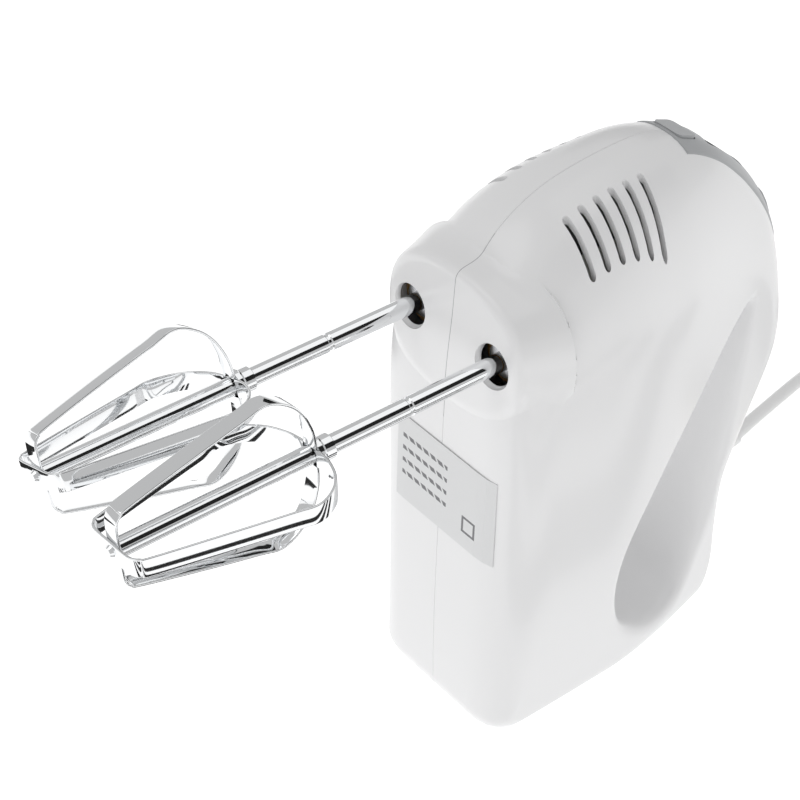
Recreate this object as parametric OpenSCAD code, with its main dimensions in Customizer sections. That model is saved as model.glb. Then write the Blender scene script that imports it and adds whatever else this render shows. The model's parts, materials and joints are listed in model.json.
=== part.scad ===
// Hand mixer standing on its heel, beaters pointing along -Y, handle at +Y.
// Millimetres. Z = 0 is the face it stands on, X = 0 is the seam between the housing halves.

/* [Housing] */
// Overall height of the housing, heel to crown
body_height = 206; // [195:1:260]
// Overall depth of the housing, front face to back of the handle
body_depth = 152; // [146:1:190]
// Greatest width of the housing
body_width = 76.4; // [75:0.1:100]
// Width of the handle grip
grip_width = 34; // [28:1:40]
// Wall thickness of the housing
wall = 2.4; // [2:0.1:3]
// Roundness exponent of the housing edges
edge_power = 2.5; // [2:0.1:3]
// Height of the beater axis below the crown
axis_drop = 46; // [44:1:50]

/* [Socket boss] */
// Half width of the boss face
boss_half_w = 34; // [32:0.5:38]
// Half height of the boss face
boss_half_h = 24; // [20:0.5:26]
// Backward lean of the boss face, degrees
boss_lean = 4.6; // [0:0.1:8]
// Radius of each socket opening
socket_r = 7.3; // [6.6:0.1:8]

/* [Vents] */
// Number of vent slots on each side
vent_count = 6; // [3:1:6]
// Distance between vent slots
vent_pitch = 6.3; // [5.5:0.1:7]
// Width of a vent slot
vent_w = 2.6; // [1.5:0.1:3]

/* [Beaters] */
// Distance between the two beater axes
beater_spacing = 42; // [42:0.5:52]
// Length of a beater in front of the boss face
beater_reach = 142; // [120:1:170]
// Radius of the beater shaft
shaft_r = 3.2; // [2.8:0.1:3.6]
// Length of the wire cage
cage_len = 72; // [60:1:90]
// Greatest radius of the cage
cage_r = 26; // [22:0.5:27]
// Radius of the cage at its tip
tip_r = 13; // [10:0.5:16]
// Width of the cage strip
strip_w = 6.4; // [5:0.1:7]
// Thickness of the cage strip
strip_t = 0.9; // [0.7:0.1:1.2]
// Rest angle of the right beater, degrees
phase_right = 6; // [0:1:12]
// Rest angle of the left beater, degrees
phase_left = 20; // [15:1:26]

/* [Gearing] */
// Teeth on each worm wheel
wheel_teeth = 30; // [30:4:34]
// Axial module of the worm
gear_module = 0.9; // [0.9:0.05:1]
// Thickness of the worm wheel
wheel_w = 8; // [6:0.5:10]
// Length of the worm
worm_len = 20; // [16:1:24]
// Radius of the spindle outside
spindle_r = 6; // [5.5:0.1:6.5]

/* [Motor] */
// Distance of the motor axis behind the front face of the housing
motor_back = 30; // [29:0.5:32]
// Radius of the armature shaft
arm_shaft_r = 3; // [2.5:0.1:3.5]
// Radius of the armature core
core_r = 13; // [11:0.5:13.5]
// Height of the lamination stack
stack_h = 24; // [18:1:28]
// Gap between the armature core and the field laminations
air_gap = 0.5; // [0.4:0.1:1]
// Radius of the commutator
commutator_r = 9; // [8:0.5:10]
// Radius of the cooling fan
fan_r = 17; // [14:0.5:17.5]

/* [Controls] */
// Width of the control panel
panel_w = 25; // [22:0.5:28]
// Travel of the eject button
eject_travel = 6; // [4:0.5:7]
// Travel of the speed slider
slider_travel = 12; // [8:1:13]
// Travel of the turbo button
turbo_travel = 2.4; // [1.5:0.1:2.6]

/* [Cord] */
// Diameter of the mains cord
cord_d = 5.2; // [4.8:0.1:5.6]
// Turns side by side in each layer of the stored coil
coil_columns = 3; // [2:1:3]
// Layers in the stored coil
coil_layers = 2; // [1:1:3]
// Mean radius of the stored coil
coil_r = 31; // [29:1:33]

/* [Hidden] */
fine = 48;
eps = 0.01;
running_gap = 0.05;
loose_gap = 0.3;

// ---- Housing surface -------------------------------------------------------------------------
// Side outline and finger opening: [y, z, depth of the edge rounding, width of the edge rounding].
design_h = 206;
design_d = 152;
ky = body_depth / design_d;
kz = body_height / design_h;
OUTLINE = [
  [-48, -0.5, 9, 13], [-55.5, 0.8, 10, 15], [-58.6, 4, 12, 17], [-59.3, 12, 16, 18], [-59, 45, 20, 19],
  [-57.5, 90, 20, 19], [-55.5, 140, 20, 19], [-52, 165, 28, 24], [-45, 181, 42, 32], [-34, 194, 56, 39],
  [-17, 202.5, 72, 39], [6, 206, 80, 39], [28, 205.5, 66, 39], [49, 197.5, 52, 39], [68, 181.5, 38, 39],
  [82, 161, 26, 39], [89.5, 135, 18, 39], [92.5, 105, 15, 39], [82, 75, 15, 39], [70, 48, 15, 39],
  [64.5, 25, 14, 39], [61.5, 9, 11, 22], [56, 0.5, 9, 12], [48, -0.5, 8, 10], [24, -0.5, 8, 9],
  [-14, -0.5, 8, 10]
];
OPENING = [
  [64, 128, 3, 3], [41, 108, 2.5, 2.5], [17, 86.5, 2.5, 2.5], [1, 65, 3, 3], [-3, 45, 5, 5],
  [1, 26, 6, 6], [12, 15.5, 6, 6], [26, 13, 7, 7], [37, 19, 9, 10], [44, 36, 13, 20],
  [51, 60, 15, 39], [59, 85, 15, 39], [65.5, 110, 14, 39], [68, 124, 10, 20]
];
// Point inside the finger opening that the outline and the opening are both star shaped about.
hub = [36 * ky, 62 * kz];
steps_per_point = 3;
// Least width of the flat strip beside the seam.
seam_strip = 0.4;
taper_h = 120 * kz;
taper = 0.11;
wide_y = -15 * ky;
narrow_y = 86 * ky;

function sized(p) = [p[0] * ky, p[1] * kz, p[2], p[3]];
function blend(a, b, c, d, t) =
  0.5 * (2 * b + (c - a) * t + (2 * a - 5 * b + 4 * c - d) * t * t + (3 * b - a - 3 * c + d) * t * t * t);
function closed_curve(p, n) = let (m = len(p)) [
  for (i = [0 : m - 1], j = [0 : n - 1])
    sized(blend(p[(i + m - 1) % m], p[i], p[(i + 1) % m], p[(i + 2) % m], j / n))
];
function side_of(p, u) = (p[0] - hub[0]) * u[1] - (p[1] - hub[1]) * u[0];
function ahead(p, u) = (p[0] - hub[0]) * u[0] + (p[1] - hub[1]) * u[1];
// Point where the ray from the hub along u crosses the closed curve q.
function cross_at(q, u) = let (
    m = len(q),
    hits = [for (i = [0 : m - 1])
      if (side_of(q[i], u) >= 0 && side_of(q[(i + 1) % m], u) < 0 && ahead(q[i], u) > 0) i],
    hit = hits[0],
    a = q[hit],
    b = q[(hit + 1) % m],
    f = side_of(a, u) / (side_of(a, u) - side_of(b, u))
  ) a + (b - a) * f;
function opening_at(o) = let (u = [o[0] - hub[0], o[1] - hub[1]]) cross_at(gap_curve, u);
function low_part(z) = pow(max(0, min(1, (taper_h - z) / taper_h)), 1.6);
function half_width(y, z) = let (
    l = low_part(z),
    t = max(0, min(1, (narrow_y + 15 * l - y) / (narrow_y - wide_y + 5 * l)))
  ) grip_width / 2 + (body_width / 2 * (1 - taper * l) - grip_width / 2) * t * t * (3 - 2 * t);
function rounded(d, r, rx) = let (q = max(0, min(1, 1 - d / r)))
  rx * (1 - pow(max(0, 1 - pow(q, edge_power)), 1 / edge_power));
// Half width of the housing at distance d from the outline point o towards the opening point g.
function skin_x(o, g, d, inset) = let (
    run = norm([g[0] - o[0], g[1] - o[1]]),
    y = o[0] + (g[0] - o[0]) * d / run,
    z = o[1] + (g[1] - o[1]) * d / run,
    w = half_width(y, z)
  ) max(seam_strip, w - inset - rounded(d - inset, max(1, o[2] - inset), min(o[3], w - seam_strip) - inset)
      - rounded(run - d - inset, max(1, g[2] - inset), max(0.5, min(g[3], w - seam_strip) - inset)));
function toward(o, g, d) = let (run = norm([g[0] - o[0], g[1] - o[1]]))
  [o[0] + (g[0] - o[0]) * d / run, o[1] + (g[1] - o[1]) * d / run];

outer_curve = closed_curve(OUTLINE, steps_per_point);
gap_curve = closed_curve(OPENING, 8);
ring_count = len(outer_curve);
// Depth of each row of points on the skin as a share of its edge rounding, then of the flat between.
outer_edge_rows = [0, 0.03, 0.12, 0.3, 0.6, 1];
inner_edge_rows = [0, 0.1, 0.4];
function row_depths(o, g, inset) = let (
    edge_rows = inset > 0 ? inner_edge_rows : outer_edge_rows,
    flat_rows = inset > 0 ? [0.5] : [0.33, 0.67],
    run = norm([g[0] - o[0], g[1] - o[1]]) - 2 * inset,
    first = min(o[2] - inset, run * 0.48),
    last = min(g[2] - inset, run - first),
    middle = run - first - last
  ) concat(
    [for (s = edge_rows) inset + first * s],
    [for (s = flat_rows) inset + first + middle * s],
    [for (k = [len(edge_rows) - 1 : -1 : 0]) inset + run - last * edge_rows[k]]
  );
function skin_row(o, g, inset) = let (d = row_depths(o, g, inset), n = len(d)) concat(
    [concat([0], toward(o, g, d[0]))],
    [for (k = [0 : n - 1]) concat([skin_x(o, g, d[k], inset)], toward(o, g, d[k]))],
    [concat([0], toward(o, g, d[n - 1]))]
  );
function reversed(a) = [for (k = [len(a) - 1 : -1 : 0]) a[k]];
shell_rings = [
  for (o = outer_curve) let (g = opening_at(o)) concat(skin_row(o, g, 0), reversed(skin_row(o, g, wall)))
];
solid_rings = [for (o = outer_curve) skin_row(o, opening_at(o), wall / 2)];

// Closed band of rings: every ring is a closed loop of points and the rings close on themselves.
module torus_mesh(rings) {
  n = len(rings);
  m = len(rings[0]);
  points = [for (r = rings, p = r) p];
  faces = [
    for (i = [0 : n - 1], j = [0 : m - 1])
      let (a = i * m + j, b = i * m + (j + 1) % m, c = ((i + 1) % n) * m + (j + 1) % m, d = ((i + 1) % n) * m + j)
        each [[a, c, b], [a, d, c]]
  ];
  polyhedron(points, faces, convexity = 8);
}

// Open run of rings closed by a cap at each end.
module tube_mesh(rings) {
  n = len(rings);
  m = len(rings[0]);
  points = [for (r = rings, p = r) p];
  sides = [
    for (i = [0 : n - 2], j = [0 : m - 1])
      let (a = i * m + j, b = i * m + (j + 1) % m, c = (i + 1) * m + (j + 1) % m, d = (i + 1) * m + j)
        each [[a, b, c], [a, c, d]]
  ];
  caps = [[for (j = [m - 1 : -1 : 0]) j], [for (j = [0 : m - 1]) (n - 1) * m + j]];
  polyhedron(points, concat(sides, caps), convexity = 8);
}

// ---- Places shared by the pieces ---------------------------------------------------------------
axis_z = body_height - axis_drop;
front_y = -59 * ky;
face_y = front_y + 5.2;
motor_y = front_y + motor_back;
half_space = beater_spacing / 2;
wheel_r = wheel_teeth * gear_module / 2;
worm_r = half_space - wheel_r;
worm_lead = 2 * PI * gear_module;
tooth_out = 0.5 * gear_module;
tooth_in = 0.75 * gear_module;
mesh_clear = 0.3;
helix_rate = worm_lead / (2 * PI * worm_r) / wheel_r * 180 / PI;
gear_ratio = wheel_teeth / 2;

spindle_front = face_y + 4;
spindle_back = motor_y + 19;
shaft_inner_end = spindle_back - 10;
bush_r = spindle_r + 1.6;
front_plate_y = motor_y - 18;
rear_plate_y = motor_y + 13;
plate_t = 3;
bush_len = 7;
flange_t = 1.4;

top_bearing_z = axis_z + 17;
mid_bearing_z = axis_z - 24;
fan_z = axis_z - 39;
stack_z = fan_z - 12 - stack_h;
commutator_z = stack_z - 23;
commutator_h = 12;
low_bearing_z = commutator_z - 12;
bearing_h = 6;
bearing_r = 7;
shaft_low_z = low_bearing_z - 3;
shaft_high_z = top_bearing_z + bearing_h + 2;

crossbar_y = spindle_back + eject_travel + 2;
crossbar_t = 5;
rod_w = 8;
rod_h = 7;
pin_r = 2.6;

function outline_at_z(z) = let (
    ys = [for (i = [0 : len(outer_curve) - 1]) let (a = outer_curve[i], b = outer_curve[(i + 1) % ring_count])
      if (a[1] >= z && b[1] < z && a[0] > hub[0]) a[0] + (b[0] - a[0]) * (z - a[1]) / (b[1] - a[1])]
  ) ys[0];
button_y = outline_at_z(axis_z);

module along_y(y0, y1) {
  translate([0, y1, 0]) rotate([90, 0, 0]) linear_extrude(y1 - y0) children();
}
module rod_y(r, y0, y1) {
  translate([0, y1, 0]) rotate([90, 0, 0]) cylinder(r = r, h = y1 - y0, $fn = fine);
}
module at_spindle(side) {
  translate([side * half_space, 0, axis_z]) children();
}
module ring_z(r_out, r_in, h) {
  difference() {
    cylinder(r = r_out, h = h, $fn = fine);
    translate([0, 0, -1]) cylinder(r = r_in, h = h + 2, $fn = fine);
  }
}

// ---- Housing halves ------------------------------------------------------------------------------
boss_power = 2.4;
boss_depth = 15;
boss_flare = 4.5;
function superellipse(a, b, n) = [
  for (k = [0 : n - 1]) let (t = 360 * k / n, c = cos(t), s = sin(t))
    [a * sign(c) * pow(abs(c), 2 / boss_power), b * sign(s) * pow(abs(s), 2 / boss_power)]
];
// Flared plug from the leaning boss face back into the housing.
module boss_plug(shrink, extra) {
  a = boss_half_w - shrink;
  b = boss_half_h - shrink;
  hull() {
    translate([0, face_y + shrink - extra, axis_z]) rotate([90 - boss_lean, 0, 0])
      linear_extrude(eps) polygon(superellipse(a, b, 40));
    translate([0, face_y + boss_depth, axis_z]) rotate([90, 0, 0])
      linear_extrude(eps) polygon(superellipse(a + boss_flare, b + boss_flare * 0.6, 40));
  }
}
// Solid of the housing without its finger opening walls, used to trim pieces to the skin.
module half_space_box(side) {
  translate([side > 0 ? 0 : -100, -150, -20]) cube([100, 300, 300]);
}
vent_y0 = -20 * ky;
vent_in_x = 14;
vent_out_x = 30;
module vents() {
  slot_l = vent_out_x - vent_in_x - vent_w;
  for (k = [0 : vent_count - 1]) {
    translate([vent_in_x + vent_w / 2, vent_y0 + k * vent_pitch, body_height - 28]) hull() {
      cylinder(d = vent_w, h = 40, $fn = 16);
      translate([slot_l, 0, 0]) cylinder(d = vent_w, h = 40, $fn = 16);
    }
  }
}

// Control panel frame: place and tilt of a point on the back-top outline.
function outline_near_y(y) = let (
    hits = [for (i = [0 : ring_count - 1]) let (a = outer_curve[i], b = outer_curve[(i + 1) % ring_count])
      if (a[0] <= y && b[0] > y && a[1] > hub[1]) [i, (y - a[0]) / (b[0] - a[0])]],
    h = hits[0],
    a = outer_curve[h[0]],
    b = outer_curve[(h[0] + 1) % ring_count]
  ) [y, a[1] + (b[1] - a[1]) * h[1], atan2(b[1] - a[1], b[0] - a[0])];
slider_at = outline_near_y(60 * ky);
turbo_at = outline_near_y(41 * ky);
module on_outline(at) {
  translate([0, at[0], at[1]]) rotate([at[2], 0, 0]) children();
}
panel_first = 12 * steps_per_point + 1;
panel_last = 15 * steps_per_point + 1;
panel_t = 1.2;
panel_proud = 0.35;
panel_columns = 8;
// Depth below the outline at which the housing is x wide, found by three rounds of substitution.
function depth_at(o, g, x, w, rounds) = let (
    q = pow(max(0, 1 - pow(min(1, abs(x) / w), edge_power)), 1 / edge_power),
    d = o[2] * (1 - q),
    p = toward(o, g, d)
  ) rounds == 0 ? d : depth_at(o, g, x, half_width(p[0], p[1]), rounds - 1);
function panel_point(o, g, x, sink) = let (d = depth_at(o, g, x, half_width(o[0], o[1]), 3) + sink)
  concat([x], toward(o, g, d));
function panel_loop(o, width, top, bottom) = let (g = opening_at(o)) concat(
    [for (k = [0 : panel_columns]) panel_point(o, g, width * (k / panel_columns - 0.5), top)],
    [for (k = [panel_columns : -1 : 0]) panel_point(o, g, width * (k / panel_columns - 0.5), bottom)]
  );
module panel_blank(width, top, bottom, grow) {
  tube_mesh(reversed([
    for (i = [panel_first - grow : panel_last + grow]) panel_loop(outer_curve[i], width, top, bottom)
  ]));
}
trough_w = 15;
trough_l = slider_travel + 13;
trough_depth = 3.6;
trough_wall = 1.2;
corner_r = 2;
// Upright block with rounded corners.
module soft_block(w, l, z0, z1) {
  hull() for (x = [-1, 1], y = [-1, 1]) {
    translate([x * (w / 2 - corner_r), y * (l / 2 - corner_r), z0]) cylinder(r = corner_r, h = z1 - z0, $fn = 16);
  }
}
module trough_block(grow, depth) {
  on_outline(slider_at) soft_block(trough_w + 2 * grow, trough_l + 2 * grow, -depth, 4);
}
turbo_w = 13;
turbo_l = 9;
turbo_h = 5.5;
turbo_well = 13;
well_wall = 1.2;
module turbo_block(grow, below, above) {
  on_outline(turbo_at) soft_block(turbo_w + 2 * grow, turbo_l + 2 * grow, -below, above);
}
eject_w = 16;
eject_h = 11;
module eject_block(grow, y0, y1) {
  translate([0, y0, axis_z]) rotate([-90, 0, 0]) soft_block(eject_w + 2 * grow, eject_h + 2 * grow, 0, y1 - y0);
}
// Shallow index marks beside the slider, cut just below the panel face.
tick_count = 5;
tick_x = 10.2;
module tick_cuts() {
  pitch = slider_travel / (tick_count - 1);
  intersection() {
    on_outline(slider_at) for (k = [0 : tick_count - 1]) {
      y = (k - (tick_count - 1) / 2) * pitch;
      hull() for (x = [tick_x - 0.7, tick_x + 0.7]) {
        translate([x, y, -6]) cylinder(r = 0.35, h = 12, $fn = 12);
      }
    }
    panel_blank(panel_w + 6, -4, 0, 0);
  }
}
exit_z = 46 * kz;
exit_y = outline_at_z(exit_z);
relief_root_r = 5;
relief_flange_r = 6.6;
relief_len = 24;

screw_places = [[-51, 128], [-36, 4.3], [38, 4.6], [71.3, 62], [83.6, 136], [24, 201]];
screw_post_r = 4;
screw_head_r = 3;
module screw_posts(side) {
  for (p = screw_places) {
    translate([0, p[0] * ky, p[1] * kz]) rotate([0, side * 90, 0])
      cylinder(r = screw_post_r, h = 12, $fn = 24);
  }
}
module housing_half(side) {
  mirror([side > 0 ? 0 : 1, 0, 0]) difference() {
    union() {
      torus_mesh(shell_rings);
      intersection() {
        boss_plug(0, 0);
        half_space_box(1);
      }
      intersection() {
        screw_posts(1);
        torus_mesh(solid_rings);
      }
    }
    translate([-100, -150, -20]) cube([200, 300, 20]);
    boss_plug(wall, -eps);
    vents();
    at_spindle(1) rod_y(socket_r, face_y - 20, face_y + 10);
    at_spindle(1) rod_y(wheel_r + tooth_out + 0.6, motor_y - wheel_w / 2 - 1, motor_y + wheel_w / 2 + 1);
    panel_blank(panel_w + 2 * running_gap, -6, panel_t + running_gap, 0);
    trough_block(trough_wall + running_gap, trough_depth + trough_wall + 6);
    turbo_block(loose_gap + well_wall + running_gap, turbo_well + 2, 6);
    eject_block(loose_gap, button_y - 20, button_y + 20);
    translate([0, 0, exit_z]) rod_y(relief_root_r + running_gap, exit_y - 16, exit_y + 10);
    for (p = screw_places) {
      translate([-1, p[0] * ky, p[1] * kz]) rotate([0, 90, 0]) cylinder(r = 1.6, h = 14, $fn = 16);
      if (side < 0)
        translate([8, p[0] * ky, p[1] * kz]) rotate([0, 90, 0]) cylinder(r = screw_head_r + 0.2, h = 60, $fn = 24);
    }
  }
}
module housing_right() {
  color("white") housing_half(1);
}
module housing_left() {
  color("white") housing_half(-1);
}
module housing_screws() {
  color("silver") for (p = screw_places) {
    translate([0, p[0] * ky, p[1] * kz]) rotate([0, -90, 0]) {
      translate([0, 0, -9]) cylinder(r = 1.5, h = 17, $fn = 24);
      difference() {
        translate([0, 0, 8]) cylinder(r = screw_head_r, h = 2.2, $fn = 24);
        translate([-0.5, -2.2, 9.2]) cube([1, 4.4, 2]);
        translate([-2.2, -0.5, 9.2]) cube([4.4, 1, 2]);
      }
    }
  }
}
module control_panel() {
  color("gray") difference() {
    union() {
      panel_blank(panel_w, -panel_proud, panel_t, 0);
      difference() {
        union() {
          trough_block(trough_wall, trough_depth + trough_wall);
          turbo_block(loose_gap + well_wall, turbo_well, 0);
        }
        panel_blank(panel_w + 6, -12, panel_t / 3, 0);
      }
    }
    trough_block(0, trough_depth);
    on_outline(slider_at) soft_block(5.2, slider_travel + 9, -12, 2);
    tick_cuts();
    turbo_block(loose_gap, turbo_well - well_wall, 6);
    on_outline(turbo_at) translate([0, 0, -turbo_well - 1]) cylinder(r = 2.6, h = 6, $fn = 24);
    eject_block(loose_gap, button_y - 20, button_y + 20);
  }
}

// Label plate bent over the front of the housing.
label_low = 80 * kz;
label_high = 116 * kz;
label_left = -23;
label_right = 28;
label_t = 0.25;
label_gap = 0.2;
label_rows = 4;
label_columns = 12;
function front_index(z) = [
  for (i = [0 : ring_count - 1]) let (a = outer_curve[i], b = outer_curve[(i + 1) % ring_count])
    if (a[1] <= z && b[1] > z && a[0] < hub[0]) i
][0];
function front_point(x, z, proud) = let (
    i = front_index(z),
    a = outer_curve[i],
    b = outer_curve[i + 1],
    o = a + (b - a) * (z - a[1]) / (b[1] - a[1]),
    w = half_width(o[0], o[1]),
    rx = min(o[3], w),
    over = max(0, abs(x) - (w - rx)) / rx,
    q = pow(max(0, 1 - pow(over, edge_power)), 1 / edge_power),
    d = o[2] * (1 - q)
  ) [x, o[0] + d - proud, z];
module rating_label() {
  color("whitesmoke") tube_mesh([
    for (j = [0 : label_columns]) let (x = label_right + (label_left - label_right) * j / label_columns) concat(
      [for (k = [0 : label_rows]) front_point(x, label_low + (label_high - label_low) * k / label_rows, label_gap)],
      [for (k = [label_rows : -1 : 0])
        front_point(x, label_low + (label_high - label_low) * k / label_rows, label_gap + label_t)]
    )
  ]);
}

// ---- Gearbox -------------------------------------------------------------------------------------
module spindle_plate(y) {
  r = bush_r + 1.9;
  for (side = [-1, 1]) {
    at_spindle(side) rod_y(r, y, y + plate_t);
  }
  translate([-half_space, y, axis_z - r]) cube([2 * half_space, plate_t, 2 * r]);
}
module gearbox_frame() {
  tie_w = 16;
  low = mid_bearing_z + 2.2;
  high = top_bearing_z + bearing_h - 2;
  color("darkgray") difference() {
    union() {
      spindle_plate(front_plate_y);
      spindle_plate(rear_plate_y);
      for (y = [front_plate_y, rear_plate_y]) {
        translate([-tie_w / 2, y, low]) cube([tie_w, plate_t, high - low]);
      }
      translate([-tie_w / 2, front_plate_y, high - 4]) cube([tie_w, rear_plate_y + plate_t - front_plate_y, 4]);
      translate([-tie_w / 2, front_plate_y, low]) cube([tie_w, rear_plate_y + plate_t - front_plate_y, 4]);
    }
    for (side = [-1, 1]) {
      at_spindle(side) rod_y(bush_r, front_plate_y - 1, rear_plate_y + plate_t + 1);
    }
    translate([0, motor_y, low - 1]) cylinder(r = bearing_r, h = high - low + 2, $fn = fine);
  }
}
module spindle_bush(y) {
  difference() {
    union() {
      rod_y(bush_r, y - 2, y - 2 + bush_len);
      rod_y(bush_r + 1.2, y - flange_t, y);
    }
    rod_y(spindle_r + running_gap, y - 5, y + bush_len + 2);
  }
}
module spindle_bushes() {
  color("darkgoldenrod") for (side = [-1, 1]) {
    at_spindle(side) {
      spindle_bush(front_plate_y);
      translate([0, rear_plate_y + plate_t, 0]) mirror([0, 1, 0]) spindle_bush(0);
    }
  }
}
module armature_bearings() {
  color("darkgoldenrod") translate([0, motor_y, 0]) {
    for (z = [top_bearing_z - 1, mid_bearing_z - 1, low_bearing_z]) {
      translate([0, 0, z]) ring_z(bearing_r, arm_shaft_r + running_gap, bearing_h);
    }
  }
}

// ---- Motor -----------------------------------------------------------------------------------------
stator_w = 46;
stator_d = 42;
pole_bore_r = core_r + air_gap;
module stator_core() {
  color("dimgray") translate([0, motor_y, stack_z]) difference() {
    translate([-stator_w / 2, -stator_d / 2, 0]) cube([stator_w, stator_d, stack_h]);
    translate([0, 0, -1]) cylinder(r = pole_bore_r, h = stack_h + 2, $fn = fine);
    for (side = [-1, 1]) {
      translate([-9, side * 13.4 - 4, -1]) cube([18, 8, stack_h + 2]);
      for (end = [-1, 1]) {
        translate([end * (stator_w / 2 - 4), side * (stator_d / 2 - 4), -1])
          cylinder(r = 1.8, h = stack_h + 2, $fn = 24);
      }
    }
  }
}
module field_coils() {
  over = 6;
  color("peru") translate([0, motor_y, stack_z]) for (side = [-1, 1]) {
    difference() {
      translate([-8.6, side * 13.9 - 3, -over]) cube([17.2, 6, stack_h + 2 * over]);
      translate([0, 0, -over - 1]) cylinder(r = pole_bore_r + 0.4, h = stack_h + 2 * over + 2, $fn = fine);
    }
  }
}
module motor_bracket() {
  bridge_z = low_bearing_z + 1;
  leg = 5;
  color("gainsboro") translate([0, motor_y, 0]) difference() {
    union() {
      translate([-stator_w / 2, -8, bridge_z]) cube([stator_w, 16, 4]);
      for (side = [-1, 1]) {
        translate([side * (stator_w / 2 - leg / 2) - leg / 2, -8, bridge_z]) cube([leg, 16, stack_z - bridge_z]);
        translate([side * (stator_w / 2 - leg / 2) - leg / 2, -stator_d / 2, stack_z - 3])
          cube([leg, stator_d, 3]);
      }
    }
    translate([0, 0, bridge_z - 1]) cylinder(r = bearing_r, h = 6, $fn = fine);
    for (side = [-1, 1]) {
      translate([side > 0 ? 10 : -60, -4.2, commutator_z + 1.4]) cube([50, 8.4, 9.2]);
      for (end = [-1, 1]) {
        translate([end * (stator_w / 2 - 4), side * (stator_d / 2 - 4), stack_z - 5])
          cylinder(r = 1.8, h = 6, $fn = 24);
      }
    }
  }
}
module stator_bolts() {
  color("silver") translate([0, motor_y, stack_z]) for (side = [-1, 1], end = [-1, 1]) {
    translate([end * (stator_w / 2 - 4), side * (stator_d / 2 - 4), 0]) {
      translate([0, 0, -5]) cylinder(r = 1.6, h = stack_h + 5, $fn = 24);
      translate([0, 0, stack_h]) cylinder(r = 3, h = 2.2, $fn = 24);
    }
  }
}
brush_w = 6.4;
brush_h = 7.4;
module brush_holders() {
  color("darkgoldenrod") translate([0, motor_y, commutator_z + 6]) for (side = [-1, 1]) {
    difference() {
      translate([side > 0 ? 11.4 : -27, -4, -4.4]) cube([15.6, 8, 8.8]);
      translate([side > 0 ? 10 : -26, -brush_w / 2 - 0.1, -brush_h / 2 - 0.1])
        cube([16, brush_w + 0.2, brush_h + 0.2]);
    }
  }
}
module carbon_brushes() {
  color("black") translate([0, motor_y, commutator_z + 6]) for (side = [-1, 1]) {
    difference() {
      translate([side > 0 ? 4 : -20, -brush_w / 2, -brush_h / 2]) cube([16, brush_w, brush_h]);
      translate([0, 0, -10]) cylinder(r = commutator_r + 0.08, h = 20, $fn = fine);
    }
  }
}
module armature_shaft() {
  color("silver") translate([0, motor_y, shaft_low_z]) cylinder(r = arm_shaft_r, h = shaft_high_z - shaft_low_z, $fn = fine);
}
module armature_core() {
  slots = 10;
  color("gray") translate([0, motor_y, stack_z + 0.5]) difference() {
    cylinder(r = core_r, h = stack_h - 1, $fn = 64);
    translate([0, 0, -1]) cylinder(r = arm_shaft_r, h = stack_h + 2, $fn = fine);
    for (k = [0 : slots - 1]) {
      rotate([0, 0, 360 * k / slots]) translate([core_r - 3.4, -0.6, -1]) cube([5, 1.2, stack_h + 2]);
    }
  }
}
module armature_windings() {
  head = 7;
  color("peru") translate([0, motor_y, 0]) for (z = [stack_z + 0.5 - head, stack_z + stack_h - 0.5]) {
    translate([0, 0, z]) rotate_extrude($fn = fine) polygon([
      [arm_shaft_r, 0], [core_r - 4, 0], [core_r - 2, 1.6], [core_r - 2, head - 1.6], [core_r - 4, head],
      [arm_shaft_r, head]
    ]);
  }
}
module commutator() {
  bars = 20;
  color("chocolate") translate([0, motor_y, commutator_z]) difference() {
    union() {
      cylinder(r = commutator_r, h = commutator_h, $fn = 64);
      translate([0, 0, commutator_h - 1.6]) cylinder(r = commutator_r + 1.2, h = 1.6, $fn = 64);
    }
    translate([0, 0, -1]) cylinder(r = arm_shaft_r, h = commutator_h + 2, $fn = fine);
    for (k = [0 : bars - 1]) {
      rotate([0, 0, 360 * k / bars]) translate([commutator_r - 0.8, -0.25, -1]) cube([4, 0.5, commutator_h + 2]);
    }
  }
}
module cooling_fan() {
  blades = 12;
  color("ivory") translate([0, motor_y, fan_z]) difference() {
    union() {
      cylinder(r = 6.5, h = 9, $fn = fine);
      translate([0, 0, 7.4]) cylinder(r = fan_r, h = 1.6, $fn = 64);
      for (k = [0 : blades - 1]) {
        rotate([0, 0, 360 * k / blades]) translate([5.5, 0, 0]) rotate([0, 0, 24])
          translate([0, -0.7, 0]) cube([fan_r - 7.6, 1.4, 8]);
      }
    }
    translate([0, 0, -1]) cylinder(r = arm_shaft_r, h = 12, $fn = fine);
  }
}
// Two-start right-hand worm: a lobed section twisted along its axis.
worm_sides = 16;
worm_root_r = worm_r - tooth_in;
worm_tip_r = worm_r + tooth_out;
module worm() {
  turns = worm_len / worm_lead;
  mid = (worm_root_r + worm_tip_r) / 2;
  swing = (worm_tip_r - worm_root_r) / 2;
  color("silver") translate([0, motor_y, axis_z - worm_len / 2]) difference() {
    rotate([0, 0, -180 * worm_len / worm_lead]) linear_extrude(worm_len, twist = -360 * turns,
        slices = ceil(turns * 16), convexity = 6)
      polygon([for (k = [0 : worm_sides - 1]) let (t = 360 * k / worm_sides, r = mid + swing * cos(2 * t))
        [r * cos(t), r * sin(t)]]);
    translate([0, 0, -1]) cylinder(r = arm_shaft_r, h = worm_len + 2, $fn = fine);
  }
}

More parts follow.
